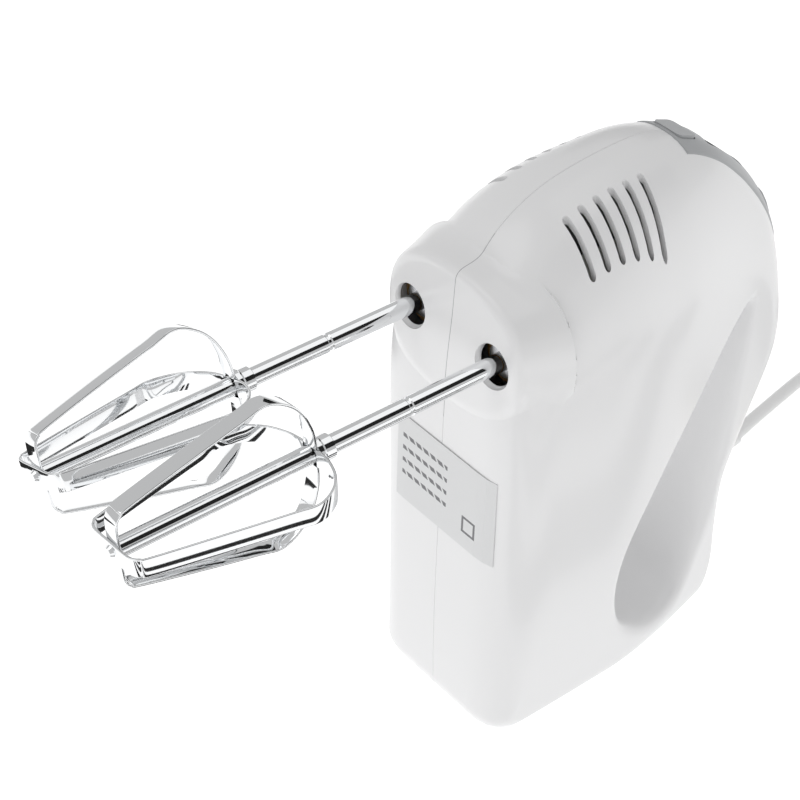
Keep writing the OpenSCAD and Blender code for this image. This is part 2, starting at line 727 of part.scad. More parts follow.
// ---- Spindles and wheels ---------------------------------------------------------------------------
bore_r = shaft_r + running_gap;
module spindle() {
  color("silver") difference() {
    union() {
      rod_y(spindle_r, spindle_front, spindle_back);
      rod_y(spindle_r + 1.3, motor_y - wheel_w / 2 - 2.5, motor_y - wheel_w / 2);
    }
    rod_y(bore_r, spindle_front - 1, spindle_back + 1);
  }
}
module worm_wheel() {
  root = wheel_r - tooth_in;
  tip = wheel_r + tooth_out;
  step = 360 / wheel_teeth;
  root_half = step * 0.24;
  tip_half = step * 0.10;
  twist_all = helix_rate * wheel_w;
  outline = [
    for (k = [0 : wheel_teeth - 1]) let (t = (k + 0.5) * step) each [
      [root * cos(t - root_half), root * sin(t - root_half)],
      [tip * cos(t - tip_half), tip * sin(t - tip_half)],
      [tip * cos(t + tip_half), tip * sin(t + tip_half)],
      [root * cos(t + root_half), root * sin(t + root_half)]
    ]
  ];
  color("ivory") translate([0, motor_y + wheel_w / 2, 0]) rotate([90, 0, 0]) difference() {
    rotate([0, 0, -twist_all / 2]) linear_extrude(wheel_w, twist = -twist_all, slices = 2, convexity = 6)
      polygon(outline);
    translate([0, 0, -1]) cylinder(r = spindle_r, h = wheel_w + 2, $fn = fine);
    for (k = [0 : 5]) {
      rotate([0, 0, 60 * k]) translate([(spindle_r + root) / 2, 0, wheel_w - 2])
        cylinder(r = 1.3, h = 3, $fn = 16);
    }
  }
}
module spindle_right() {
  at_spindle(1) spindle();
}
module worm_wheel_right() {
  at_spindle(1) worm_wheel();
}
module spindle_left() {
  at_spindle(-1) spindle();
}
module worm_wheel_left() {
  at_spindle(-1) worm_wheel();
}

// ---- Beaters ------------------------------------------------------------------------------------------
tip_y = face_y - beater_reach;
shoulder_y = tip_y + cage_len;
collar_r = shaft_r + 1;
// Half of a loop's centre line as [radius, distance from the tip], from the collar round to the tip.
function loop_half(top, r_tip) = [
  [shaft_r + running_gap, cage_len - 1], [6, cage_len - 1], [cage_r * 0.42, cage_len - 1.8],
  [cage_r * 0.68, cage_len - 4.6],
  [cage_r * 0.88, cage_len - 9.4], [cage_r, cage_len - 16.5], [cage_r * 0.93, cage_len - 25],
  [r_tip + (cage_r - r_tip) * 0.5, cage_len * 0.38], [r_tip + 1, top + 5], [r_tip - 0.5, top + 2],
  [r_tip - 2.6, top + 0.4], [r_tip - 6, top], [shaft_r, top]
];
function spline(p, n) = let (m = len(p)) concat([
  for (i = [0 : m - 2], j = [0 : n - 1])
    blend(p[max(0, i - 1)], p[i], p[i + 1], p[min(m - 1, i + 2)], j / n)
], [p[m - 1]]);
function left_normal(a, b) = let (d = b - a, l = norm(d)) [-d[1] / l, d[0] / l];
function offset_path(p, t) = let (m = len(p)) [
  for (i = [0 : m - 1]) p[i] + t * left_normal(p[max(0, i - 1)], p[min(m - 1, i + 1)])
];
function mirrored(p) = [for (q = reversed(p)) [-q[0], q[1]]];
module loop_strip(top) {
  path = spline(loop_half(top, tip_r), 4);
  whole = concat(path, mirrored(path));
  band = concat(offset_path(whole, strip_t / 2), reversed(offset_path(whole, -strip_t / 2)));
  translate([0, tip_y, -strip_w / 2]) linear_extrude(strip_w, convexity = 8)
    polygon(band);
}
module turned(side) {
  at_spindle(side) rotate([0, side > 0 ? -phase_right : -phase_left, 0]) children();
}
module beater_shaft(side) {
  color("silver") turned(side) difference() {
    rod_y(shaft_r, tip_y + strip_t * 2 + 0.04, shaft_inner_end);
    for (y = [shaft_inner_end - 9]) {
      difference() {
        rod_y(shaft_r + 1, y - 1.2, y + 1.2);
        rod_y(shaft_r - 0.6, y - 2, y + 2);
      }
    }
  }
}
module beater_outer_loop(side) {
  color("silver") turned(side) loop_strip(strip_t / 2);
}
module beater_inner_loop(side) {
  color("silver") turned(side) rotate([0, 90, 0]) loop_strip(strip_t * 1.5 + 0.02);
}
module beater_collar(side) {
  color("silver") turned(side) translate([0, shoulder_y - 2, 0]) rotate([-90, 0, 0]) difference() {
    rotate_extrude($fn = fine) polygon([
      [shaft_r, 1.5], [collar_r + 0.9, 1.5], [collar_r + 0.9, 3.2], [collar_r, 4.2], [collar_r, 7.6],
      [collar_r - 0.5, 8], [shaft_r, 8]
    ]);
  }
}
module beater_tip_rivet(side) {
  color("silver") turned(side) {
    translate([0, tip_y, 0]) rotate([90, 0, 0]) cylinder(r1 = 2.2, r2 = 1.5, h = 1.1, $fn = 32);
  }
}
module beater_shaft_right() {
  beater_shaft(1);
}
module beater_outer_loop_right() {
  beater_outer_loop(1);
}
module beater_inner_loop_right() {
  beater_inner_loop(1);
}
module beater_collar_right() {
  beater_collar(1);
}
module beater_tip_rivet_right() {
  beater_tip_rivet(1);
}
module beater_shaft_left() {
  beater_shaft(-1);
}
module beater_outer_loop_left() {
  beater_outer_loop(-1);
}
module beater_inner_loop_left() {
  beater_inner_loop(-1);
}
module beater_collar_left() {
  beater_collar(-1);
}
module beater_tip_rivet_left() {
  beater_tip_rivet(-1);
}

// ---- Controls ---------------------------------------------------------------------------------------------
eject_proud = 1.2;
guide_y = button_y - 46;
stop_y = button_y - 17;
// Slab whose outer face follows the panel, a little proud of it.
module eject_skin() {
  first = 14 * steps_per_point;
  tube_mesh(reversed([
    for (i = [first : first + 6]) panel_loop(outer_curve[i], eject_w + 4, -eject_proud - panel_proud, 14)
  ]));
}
module eject_button() {
  color("gray") difference() {
    intersection() {
      eject_block(0, button_y - 9, button_y + 12);
      eject_skin();
    }
    translate([-rod_w / 2, button_y - 10, axis_z - rod_h / 2]) cube([rod_w, 6, rod_h]);
  }
}
module eject_yoke() {
  color("whitesmoke") {
    translate([-half_space - 4, crossbar_y, axis_z - 4]) cube([beater_spacing + 8, crossbar_t, 8]);
    for (side = [-1, 1]) {
      at_spindle(side) rod_y(pin_r, shaft_inner_end + loose_gap, crossbar_y);
    }
    translate([-rod_w / 2, crossbar_y + crossbar_t, axis_z - rod_h / 2])
      cube([rod_w, button_y - 4 - crossbar_y - crossbar_t, rod_h]);
    translate([-rod_w / 2 - 2, stop_y, axis_z - rod_h / 2 - 2]) cube([rod_w + 4, 2, rod_h + 4]);
  }
}
module eject_guide() {
  color("whitesmoke") difference() {
    translate([-12, guide_y, axis_z - 9]) cube([24, 3, 18]);
    translate([-rod_w / 2 - loose_gap, guide_y - 1, axis_z - rod_h / 2 - loose_gap])
      cube([rod_w + 2 * loose_gap, 5, rod_h + 2 * loose_gap]);
  }
}
// Helical spring along Y as a swept six-sided tube.
module coil_spring(radius, wire_r, length, turns) {
  steps = 12 * turns;
  tube_mesh([
    for (i = [0 : steps]) let (t = -30 * i, y = wire_r + (length - 2 * wire_r) * i / steps) [
      for (k = [0 : 5]) let (u = 60 * k, r = radius + wire_r * cos(u)) [r * cos(t), y + wire_r * sin(u), r * sin(t)]
    ]
  ]);
}
module eject_spring() {
  color("silver") translate([0, guide_y + 3 + eps, axis_z])
    coil_spring(7.2, 0.5, stop_y - guide_y - 3 - 2 * eps, 6);
}
grip_l = 11;
grip_ridge = 2;
module speed_slider() {
  start = -slider_travel / 2;
  color("dimgray") on_outline(slider_at) translate([0, start, 0]) {
    difference() {
      soft_block(trough_w - 2 * loose_gap, grip_l, -trough_depth + 0.05, -0.6);
      for (k = [-2 : 2]) {
        translate([-trough_w, k * grip_ridge - 0.4, -1.3]) cube([2 * trough_w, 0.8, 2]);
      }
    }
    translate([-2.2, -3, -trough_depth - trough_wall - 3]) cube([4.4, 6, trough_wall + 3.1]);
  }
}
switch_top = trough_depth + trough_wall + 3.6;
module speed_switch() {
  color("ivory") on_outline(slider_at) difference() {
    translate([-9, -11.5, -switch_top - 7]) cube([18, 23.5, 7]);
    translate([-3, -10.2, -switch_top - 2]) cube([6, 20.4, 3]);
  }
}
module turbo_button() {
  color("gray") on_outline(turbo_at) {
    soft_block(turbo_w, turbo_l, 0.8 - turbo_h, 0.8);
    translate([0, 0, -turbo_well - 0.4]) cylinder(r = 2.2, h = turbo_well - turbo_h + 2, $fn = 24);
  }
}
module turbo_spring() {
  room = turbo_well - well_wall - turbo_h + 0.8;
  color("silver") on_outline(turbo_at) translate([0, 0, -turbo_well + well_wall + eps]) rotate([90, 0, 0])
    coil_spring(3.4, 0.35, room - 2 * eps, 4);
}
module circuit_board() {
  color("darkgreen") translate([-15, 24, axis_z - 36]) cube([30, 1.6, 26]);
  color("black") translate([-6, 25.6, axis_z - 30]) cube([12, 6, 12]);
}
module suppression_capacitor() {
  color("khaki") translate([-9, 14, axis_z - 34]) cube([18, 9.8, 15]);
}

// ---- Mains lead ----------------------------------------------------------------------------------------------
function unit(v) = v / norm(v);
// Round tube swept along a list of points, with one ring at each point.
function sweep_rings(path, r, sides) = let (m = len(path)) [
  for (i = [0 : m - 1]) let (
      t = unit(path[min(m - 1, i + 1)] - path[max(0, i - 1)]),
      up = abs(t[2]) > 0.9 ? [1, 0, 0] : [0, 0, 1],
      a = unit(cross(t, up)),
      b = cross(a, t)
    ) [for (k = [0 : sides - 1]) path[i] + r * (a * cos(360 * k / sides) + b * sin(360 * k / sides))]
];
floor_z = cord_d / 2;
coil_y = 226;
coil_half_w = coil_columns * cord_d / 2;
coil_h = coil_layers * cord_d;
coil_out_r = coil_r + coil_half_w - cord_d / 2;
coil_top_z = coil_h - cord_d / 2;
exit_point = [0, exit_y + relief_len - 4, exit_z];
CORD_POINTS = [
  exit_point, [-2, 97, 45.4], [-4.6, 108, 45], [-7, 119, 44.6], [-10, 131, 43.6], [-14, 143, 40.6],
  [-18.5, 154, 35.5], [-23, 164.5, 28.5], [-27, 174, 20.5], [-30, 183, 13], [-32.3, 192, 7],
  [-34, 201, 3.6], [-35.4, 209, floor_z], [-36.2, 217, floor_z], [-36.2, 225.8, floor_z]
];
module mains_cord() {
  color("white") tube_mesh(sweep_rings(spline(CORD_POINTS, 2), cord_d / 2, 8));
}
module cord_coil() {
  slot = cord_d + 2.2;
  color("white") translate([0, coil_y, 0]) difference() {
    rotate_extrude($fn = 64) translate([coil_r - coil_half_w, 0]) square([2 * coil_half_w, coil_h]);
    translate([-coil_out_r - slot / 2 - 4, -28, -1]) cube([slot + 4, 28, cord_d + 1]);
    translate([coil_out_r - slot / 2, -28, coil_h - cord_d]) cube([slot + 4, 28, cord_d + 1]);
  }
}
plug_y = coil_y - 25;
plug_len = 36;
plug_h = 13.7;
TAIL_POINTS = [
  [coil_out_r, coil_y - 0.2, coil_top_z], [coil_out_r, coil_y - 8, coil_top_z], [coil_out_r, coil_y - 16, 7.4],
  [coil_out_r, plug_y + 0.25, plug_h / 2 + 0.05]
];
module cord_tail() {
  color("white") tube_mesh(sweep_rings(spline(TAIL_POINTS, 2), cord_d / 2, 8));
}
plug_w = 35;
module at_plug(along) {
  translate([coil_out_r, plug_y - along, plug_h / 2 + 0.05]) rotate([90, 0, 0]) children();
}
module plug_body() {
  color("white") at_plug(0) hull() {
    linear_extrude(eps) circle(r = 4, $fn = 24);
    translate([0, 0, plug_len - 16]) linear_extrude(eps) offset(3) square([15, plug_h - 6], center = true);
    translate([0, 0, plug_len]) linear_extrude(eps) offset(3) square([plug_w - 6, plug_h - 6], center = true);
  }
}
module plug_pins() {
  color("silver") for (side = [-1, 1]) {
    at_plug(plug_len) translate([side * 9.3, 0, 0]) {
      cylinder(r = 2, h = 17, $fn = 32);
      translate([0, 0, 17]) cylinder(r1 = 2, r2 = 1.1, h = 2, $fn = 32);
    }
  }
}
module strain_relief() {
  ridge = 0.5;
  color("white") translate([0, exit_y - 8, exit_z]) rotate([-90, 0, 0]) difference() {
    rotate_extrude($fn = fine) polygon([
      [0, 0], [relief_flange_r, 0], [relief_flange_r, 3], [relief_root_r, 3], [relief_root_r, 10],
      [relief_root_r, 12], [cord_d / 2 + 1.0, relief_len + 4], [0, relief_len + 4]
    ]);
    translate([0, 0, relief_len + 2.8]) cylinder(r = cord_d / 2 + 0.4, h = 2, $fn = fine);
  }
}
module cord_clamp() {
  color("whitesmoke") translate([-7.5, exit_y - 15.5, exit_z - 5]) difference() {
    cube([15, 6, 10]);
    translate([7.5, -1, 5]) rotate([-90, 0, 0]) cylinder(r = cord_d / 2, h = 8, $fn = 32);
    for (x = [2.5, 12.5]) {
      translate([x, 3, -1]) cylinder(r = 1.2, h = 12, $fn = 24);
    }
  }
}
module clamp_screws() {
  color("silver") for (x = [-5, 5]) {
    translate([x, exit_y - 12.5, exit_z - 5]) {
      cylinder(r = 1.2, h = 10, $fn = 24);
      translate([0, 0, 10]) cylinder(r = 2.2, h = 1.6, $fn = 24);
    }
  }
}
LEAD_POINTS = [
  [0, 61.8, 54.6], [0, 62.4, 64], [0, 67, 82], [0, 74, 100], [0, 77, 120], [0, 72, 140], [0, 56, 148], [0, 42, 146]
];
module wiring_leads() {
  points = [for (p = LEAD_POINTS) [p[0], p[1] * ky, p[2] * kz]];
  color("black") for (x = [-3, 3]) {
    translate([x, 0, 0]) tube_mesh(sweep_rings(spline(points, 2), 1, 6));
  }
}

housing_right();
housing_left();
control_panel();
rating_label();
housing_screws();
gearbox_frame();
spindle_bushes();
armature_bearings();
motor_bracket();
stator_core();
field_coils();
stator_bolts();
brush_holders();
carbon_brushes();
speed_switch();
circuit_board();
suppression_capacitor();
wiring_leads();
eject_guide();
cord_clamp();
clamp_screws();
strain_relief();
armature_shaft();
armature_core();
armature_windings();
commutator();
cooling_fan();
worm();
spindle_right();
worm_wheel_right();
spindle_left();
worm_wheel_left();
beater_shaft_right();
beater_outer_loop_right();
beater_inner_loop_right();
beater_collar_right();
beater_tip_rivet_right();
beater_shaft_left();
beater_outer_loop_left();
beater_inner_loop_left();
beater_collar_left();
beater_tip_rivet_left();
eject_button();
eject_yoke();
eject_spring();
speed_slider();
turbo_button();
turbo_spring();
mains_cord();
cord_coil();
cord_tail();
plug_body();
plug_pins();
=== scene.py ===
"""Looks of the hand mixer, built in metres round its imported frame.

Every surface here comes from a law with a few chosen sizes: the housing skin, the socket boss that grows
out of it, the bent strips of the beaters and the lead. Axes are the frame's own: +Z up from the heel, -Y
along the beaters.
"""

import json
import logging
import math
from dataclasses import dataclass
from enum import Enum
from typing import Callable, Sequence

import bpy
import numpy as np
from mathutils import Matrix, Vector


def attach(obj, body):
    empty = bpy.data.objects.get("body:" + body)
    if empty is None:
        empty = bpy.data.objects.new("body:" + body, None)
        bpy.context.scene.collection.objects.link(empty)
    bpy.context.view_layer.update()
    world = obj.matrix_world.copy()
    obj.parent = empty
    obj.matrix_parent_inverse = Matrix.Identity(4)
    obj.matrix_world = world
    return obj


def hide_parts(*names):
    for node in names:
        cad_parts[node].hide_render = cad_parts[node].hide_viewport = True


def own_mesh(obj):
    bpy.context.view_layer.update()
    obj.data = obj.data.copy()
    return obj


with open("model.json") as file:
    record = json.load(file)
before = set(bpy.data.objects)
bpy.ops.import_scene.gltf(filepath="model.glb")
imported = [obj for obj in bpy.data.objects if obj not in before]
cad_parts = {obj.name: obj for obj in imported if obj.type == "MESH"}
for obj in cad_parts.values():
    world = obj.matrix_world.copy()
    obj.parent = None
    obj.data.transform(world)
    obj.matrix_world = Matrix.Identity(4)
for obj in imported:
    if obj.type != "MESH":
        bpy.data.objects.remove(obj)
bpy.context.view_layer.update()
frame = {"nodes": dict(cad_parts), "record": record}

MM = 0.001
log = logging.getLogger("hand_mixer")
Array = np.ndarray


class Side(Enum):
    """Side of the seam plane."""

    RIGHT = 1
    LEFT = -1

    @property
    def word(self) -> str:
        """Lower-case name used in the frame's node names."""
        return self.name.lower()


# ---- Mesh helpers -------------------------------------------------------------------------------


def grid_quads(rows: int, columns: int, close_rows: bool, close_columns: bool) -> Array:
    """Quads of a grid whose point (i, j) has index i * columns + j.

    Args:
        rows: Number of rows of points.
        columns: Number of points in a row.
        close_rows: Whether the last row joins the first.
        close_columns: Whether the last point of a row joins its first.
    Returns:
        Array of shape (faces, 4).
    """
    i = np.arange(rows if close_rows else rows - 1)[:, None]
    j = np.arange(columns if close_columns else columns - 1)[None, :]
    i2, j2 = (i + 1) % rows, (j + 1) % columns
    return np.stack(
        np.broadcast_arrays(i * columns + j, i * columns + j2, i2 * columns + j2, i2 * columns + j), -1
    ).reshape(-1, 4)


def link_mesh(
    name: str, points: Array, faces: Sequence[Sequence[int]], crease: float = 35.0
) -> bpy.types.Object:
    """Makes a mesh object at the origin from points in millimetres.

    Args:
        name: Object name.
        points: Array (n, 3) in millimetres.
        faces: Index lists, outward by the right-hand rule or wholly inward.
        crease: Angle in degrees above which an edge stays sharp.
    Returns:
        The linked object, with outward faces and smooth shading.
    """
    mesh = bpy.data.meshes.new(name)
    mesh.from_pydata((np.asarray(points, float) * MM).tolist(), [], [list(map(int, f)) for f in faces])
    mesh.update()
    obj = bpy.data.objects.new(name, mesh)
    bpy.context.scene.collection.objects.link(obj)
    if signed_volume(mesh) < 0:
        mesh.flip_normals()
    shade(obj, crease)
    return obj


def signed_volume(mesh: bpy.types.Mesh) -> float:
    """Volume inside a closed mesh, negative when its faces point inward.

    It is the sum of a . (b x c) / 6 over the triangles.
    """
    mesh.calc_loop_triangles()
    index = np.empty(len(mesh.loop_triangles) * 3, np.int32)
    mesh.loop_triangles.foreach_get("vertices", index)
    co = np.empty(len(mesh.vertices) * 3)
    mesh.vertices.foreach_get("co", co)
    a, b, c = co.reshape(-1, 3)[index.reshape(-1, 3)].transpose(1, 0, 2)
    return float(np.einsum("ij,ij->i", a, np.cross(b, c)).sum() / 6)


def shade(obj: bpy.types.Object, crease: float) -> None:
    """Smooth shading, with edges over the crease angle kept sharp."""
    mesh = obj.data
    mesh.polygons.foreach_set("use_smooth", np.ones(len(mesh.polygons), bool))
    mesh.set_sharp_from_angle(angle=math.radians(crease))


def solid_of_rings(name: str, rings: Array, closed: bool, crease: float = 35.0) -> bpy.types.Object:
    """Solid from rings of points: a torus if closed, otherwise a tube with a flat cap at each end.

    Args:
        name: Object name.
        rings: Array (rings, points, 3) in millimetres.
        closed: Whether the last ring joins the first.
        crease: Angle in degrees above which an edge stays sharp.
    Returns:
        The linked object.
    """
    n, m = rings.shape[:2]
    faces: list[Sequence[int]] = grid_quads(n, m, closed, True).tolist()
    if not closed:
        faces += [list(range(m - 1, -1, -1)), list(range((n - 1) * m, n * m))]
    return link_mesh(name, rings.reshape(-1, 3), faces, crease)


def lathe_y(name: str, profile: Array, centre: tuple[float, float], sides: int = 64) -> bpy.types.Object:
    """Solid turned about a line along Y.

    Args:
        name: Object name.
        profile: Array (n, 2) of radius and y in millimetres, with a radius over 0.
        centre: The line's x and z in millimetres.
        sides: Points in each ring.
    Returns:
        The linked object: p(k, t) = (cx + r_k cos t, y_k, cz + r_k sin t).
    """
    t = np.linspace(0, 2 * np.pi, sides, endpoint=False)
    r, y = profile[:, :1], profile[:, 1:]
    rings = np.stack(np.broadcast_arrays(centre[0] + r * np.cos(t), y, centre[1] + r * np.sin(t)), -1)
    return solid_of_rings(name, rings, False)


def cut(obj: bpy.types.Object, cutters: Sequence[bpy.types.Object], crease: float = 35.0) -> None:
    """Cuts each closed cutter out of obj for good; the cutters' own objects are left in place."""
    for cutter in cutters:
        modifier = obj.modifiers.new("cut", "BOOLEAN")
        modifier.operation, modifier.solver, modifier.object = "DIFFERENCE", "EXACT", cutter
    bpy.context.view_layer.update()
    graph = bpy.context.evaluated_depsgraph_get()
    mesh = bpy.data.meshes.new_from_object(obj.evaluated_get(graph))
    obj.modifiers.clear()
    obj.data = mesh
    shade(obj, crease)


def discard(objects: Sequence[bpy.types.Object]) -> None:
    """Removes helper objects."""
    for o in objects:
        bpy.data.objects.remove(o)


def catmull(p0: Array, p1: Array, p2: Array, p3: Array, t: Array) -> Array:
    """Catmull-Rom point between p1 and p2.

    p(t) = (2 p1 + (p2 - p0) t + (2 p0 - 5 p1 + 4 p2 - p3) t^2 + (3 p1 - p0 - 3 p2 + p3) t^3) / 2.
    """
    return 0.5 * (
        2 * p1 + (p2 - p0) * t + (2 * p0 - 5 * p1 + 4 * p2 - p3) * t**2 + (3 * p1 - p0 - 3 * p2 + p3) * t**3
    )


def closed_spline(points: Array, samples: int) -> Array:
    """Closed Catmull-Rom curve through the points, with that many samples in all."""
    m = len(points)
    s = np.arange(samples) / samples * m
    i = s.astype(int)
    p = [points[(i + k) % m] for k in (-1, 0, 1, 2)]
    return catmull(*p, (s - i)[:, None])


def open_spline(points: Array, per_span: int) -> Array:
    """Open Catmull-Rom curve through the points, its ends repeated as their own neighbours."""
    m = len(points)
    s = np.linspace(0, m - 1, (m - 1) * per_span + 1)
    i = np.minimum(s.astype(int), m - 2)
    p = [points[np.clip(i + k, 0, m - 1)] for k in (-1, 0, 1, 2)]
    return catmull(*p, (s - i)[:, None])


# ---- Finishes ------------------------------------------------------------------------------------


@dataclass(frozen=True)
class Finish:
    """A surface finish. Colours are linear RGB."""

    colour: tuple[float, float, float]
    metallic: float = 0.0
    roughness: float = 0.4
    spread: float = 0.04
    grain: float = 60.0
    bump: float = 0.0
    coat: float = 0.0


FINISHES: dict[str, Finish] = {
    "housing_plastic": Finish((0.86, 0.86, 0.865), roughness=0.30, spread=0.02, grain=18, coat=0.30),
    "panel_plastic": Finish((0.42, 0.43, 0.44), roughness=0.34, spread=0.06, grain=140, bump=0.02),
    "slider_plastic": Finish((0.10, 0.10, 0.105), roughness=0.42, spread=0.06, grain=120),
    "label_film": Finish((0.73, 0.735, 0.74), roughness=0.36, spread=0.03, grain=60),
    "zinc_steel": Finish((0.58, 0.59, 0.62), 1.0, 0.32, 0.08, 200),
    "frame_zinc": Finish((0.45, 0.46, 0.48), 1.0, 0.45, 0.10, 90, 0.03),
    "bush_bronze": Finish((0.55, 0.36, 0.16), 1.0, 0.38, 0.08, 150),
    "bracket_aluminium": Finish((0.66, 0.67, 0.68), 1.0, 0.36, 0.08, 120),
    "lamination_steel": Finish((0.24, 0.24, 0.25), 0.8, 0.5, 0.10, 300, 0.05),
    "copper_wire": Finish((0.60, 0.22, 0.08), 0.9, 0.34, 0.08, 300, 0.06),
    "brass_parts": Finish((0.68, 0.47, 0.16), 1.0, 0.33, 0.06, 120),
    "carbon": Finish((0.03, 0.03, 0.03), 0.0, 0.6, 0.08, 150),
    "inner_plastic": Finish((0.66, 0.66, 0.62), roughness=0.5, spread=0.06, grain=80),
    "board": Finish((0.03, 0.16, 0.06), roughness=0.45, spread=0.08, grain=90),
    "capacitor_case": Finish((0.62, 0.50, 0.12), roughness=0.42, spread=0.05, grain=60),
    "lead_insulation": Finish((0.02, 0.02, 0.025), roughness=0.5, spread=0.05, grain=90),
    "cord_rubber": Finish((0.86, 0.86, 0.86), roughness=0.42, spread=0.06, grain=90),
    "plug_plastic": Finish((0.74, 0.74, 0.735), roughness=0.38, spread=0.05, grain=60),
    "plug_brass": Finish((0.72, 0.62, 0.38), 1.0, 0.28, 0.06, 120),
    "ground_steel": Finish((0.60, 0.61, 0.63), 1.0, 0.22, 0.06, 240),
    "wheel_nylon": Finish((0.76, 0.73, 0.62), roughness=0.48, spread=0.05, grain=60),
    "fan_plastic": Finish((0.68, 0.68, 0.64), roughness=0.48, spread=0.05, grain=60),
    "spring_steel": Finish((0.50, 0.51, 0.53), 1.0, 0.30, 0.06, 200),
    "beater_chrome": Finish((0.86, 0.87, 0.88), 1.0, 0.055, 0.025, 40),
}


class Shaders:
    """Makes and keeps the procedural materials, which share one node group for slow variation."""

    def __init__(self) -> None:
        self.group = self._variation_group()
        self.made: dict[str, bpy.types.Material] = {}

    @staticmethod
    def _variation_group() -> bpy.types.ShaderNodeTree:
        """Shared effect: object-space noise in, a roughness and a height out."""
        tree = bpy.data.node_groups.new("slow_variation", "ShaderNodeTree")
        face = tree.interface
        for name in ("Base", "Spread", "Scale"):
            face.new_socket(name, in_out="INPUT", socket_type="NodeSocketFloat")
        for name in ("Roughness", "Height"):
            face.new_socket(name, in_out="OUTPUT", socket_type="NodeSocketFloat")
        nodes, links = tree.nodes, tree.links
        gin, gout = nodes.new("NodeGroupInput"), nodes.new("NodeGroupOutput")
        place = nodes.new("ShaderNodeTexCoord")
        noise = nodes.new("ShaderNodeTexNoise")
        noise.inputs["Detail"].default_value = 4.0
        centre, scale, add = (nodes.new("ShaderNodeMath") for _ in range(3))
        centre.operation, scale.operation, add.operation = "SUBTRACT", "MULTIPLY", "ADD"
        centre.inputs[1].default_value = 0.5
        links.new(place.outputs["Object"], noise.inputs["Vector"])
        links.new(gin.outputs["Scale"], noise.inputs["Scale"])
        links.new(noise.outputs["Fac"], centre.inputs[0])
        links.new(centre.outputs[0], scale.inputs[0])
        links.new(gin.outputs["Spread"], scale.inputs[1])
        links.new(scale.outputs[0], add.inputs[0])
        links.new(gin.outputs["Base"], add.inputs[1])
        links.new(add.outputs[0], gout.inputs["Roughness"])
        links.new(noise.outputs["Fac"], gout.inputs["Height"])
        return tree

    def get(self, slot: str) -> bpy.types.Material:
        """Material for a slot name of FINISHES, made on first use."""
        if slot not in self.made:
            self.made[slot] = self._make(slot, FINISHES[slot])
        return self.made[slot]

    def _make(self, name: str, finish: Finish) -> bpy.types.Material:
        material = bpy.data.materials.new(name)
        material.use_nodes = True
        nodes, links = material.node_tree.nodes, material.node_tree.links
        shader = nodes["Principled BSDF"]
        shader.inputs["Base Color"].default_value = (*finish.colour, 1.0)
        shader.inputs["Metallic"].default_value = finish.metallic
        shader.inputs["Coat Weight"].default_value = finish.coat
        shader.inputs["Coat Roughness"].default_value = 0.12
        group = nodes.new("ShaderNodeGroup")
        group.node_tree = self.group
        group.inputs["Base"].default_value = finish.roughness
        group.inputs["Spread"].default_value = finish.spread
        group.inputs["Scale"].default_value = finish.grain
        links.new(group.outputs["Roughness"], shader.inputs["Roughness"])
        if finish.bump:
            bump = nodes.new("ShaderNodeBump")
            bump.inputs["Strength"].default_value = finish.bump
            bump.inputs["Distance"].default_value = 0.0005
            links.new(group.outputs["Height"], bump.inputs["Height"])
            links.new(bump.outputs["Normal"], shader.inputs["Normal"])
        return material

    def seam_line(self, slot: str, half_width: float) -> bpy.types.Material:
        """Copy of a slot's material with a thin grey line where |x| is under half_width metres."""
        material = self.get(slot).copy()
        material.name = slot + "_seam"
        nodes, links = material.node_tree.nodes, material.node_tree.links
        shader = nodes["Principled BSDF"]
        place, split = nodes.new("ShaderNodeTexCoord"), nodes.new("ShaderNodeSeparateXYZ")
        size, near, mix = nodes.new("ShaderNodeMath"), nodes.new("ShaderNodeMath"), nodes.new("ShaderNodeMix")
        size.operation, near.operation, mix.data_type = "ABSOLUTE", "LESS_THAN", "RGBA"
        near.inputs[1].default_value = half_width
        mix.inputs["A"].default_value = (*FINISHES[slot].colour, 1.0)
        mix.inputs["B"].default_value = (0.45, 0.45, 0.46, 1.0)
        links.new(place.outputs["Object"], split.inputs[0])
        links.new(split.outputs["X"], size.inputs[0])
        links.new(size.outputs[0], near.inputs[0])
        links.new(near.outputs[0], mix.inputs["Factor"])
        links.new(mix.outputs["Result"], shader.inputs["Base Color"])
        return material

    def label(self) -> bpy.types.Material:
        """Label film with rows of plain grey dashes and two small squares, in the label's own x and z."""
        material = self.get("label_film").copy()
        material.name = "label_marks"
        nodes, links = material.node_tree.nodes, material.node_tree.links
        shader = nodes["Principled BSDF"]
        place, split = nodes.new("ShaderNodeTexCoord"), nodes.new("ShaderNodeSeparateXYZ")
        links.new(place.outputs["Object"], split.inputs[0])

        def math_node(operation: str, a: object, b: object) -> bpy.types.NodeSocket:
            """One math node; a and b are sockets or numbers."""
            node = nodes.new("ShaderNodeMath")
            node.operation = operation
            for socket, value in zip(node.inputs, (a, b)):
                if isinstance(value, bpy.types.NodeSocket):
                    links.new(value, socket)
                else:
                    socket.default_value = float(value)
            return node.outputs[0]

        def between(value: object, low: float, high: float) -> bpy.types.NodeSocket:
            """1 where low < value < high."""
            above, under = math_node("GREATER_THAN", value, low), math_node("LESS_THAN", value, high)
            return math_node("MULTIPLY", above, under)

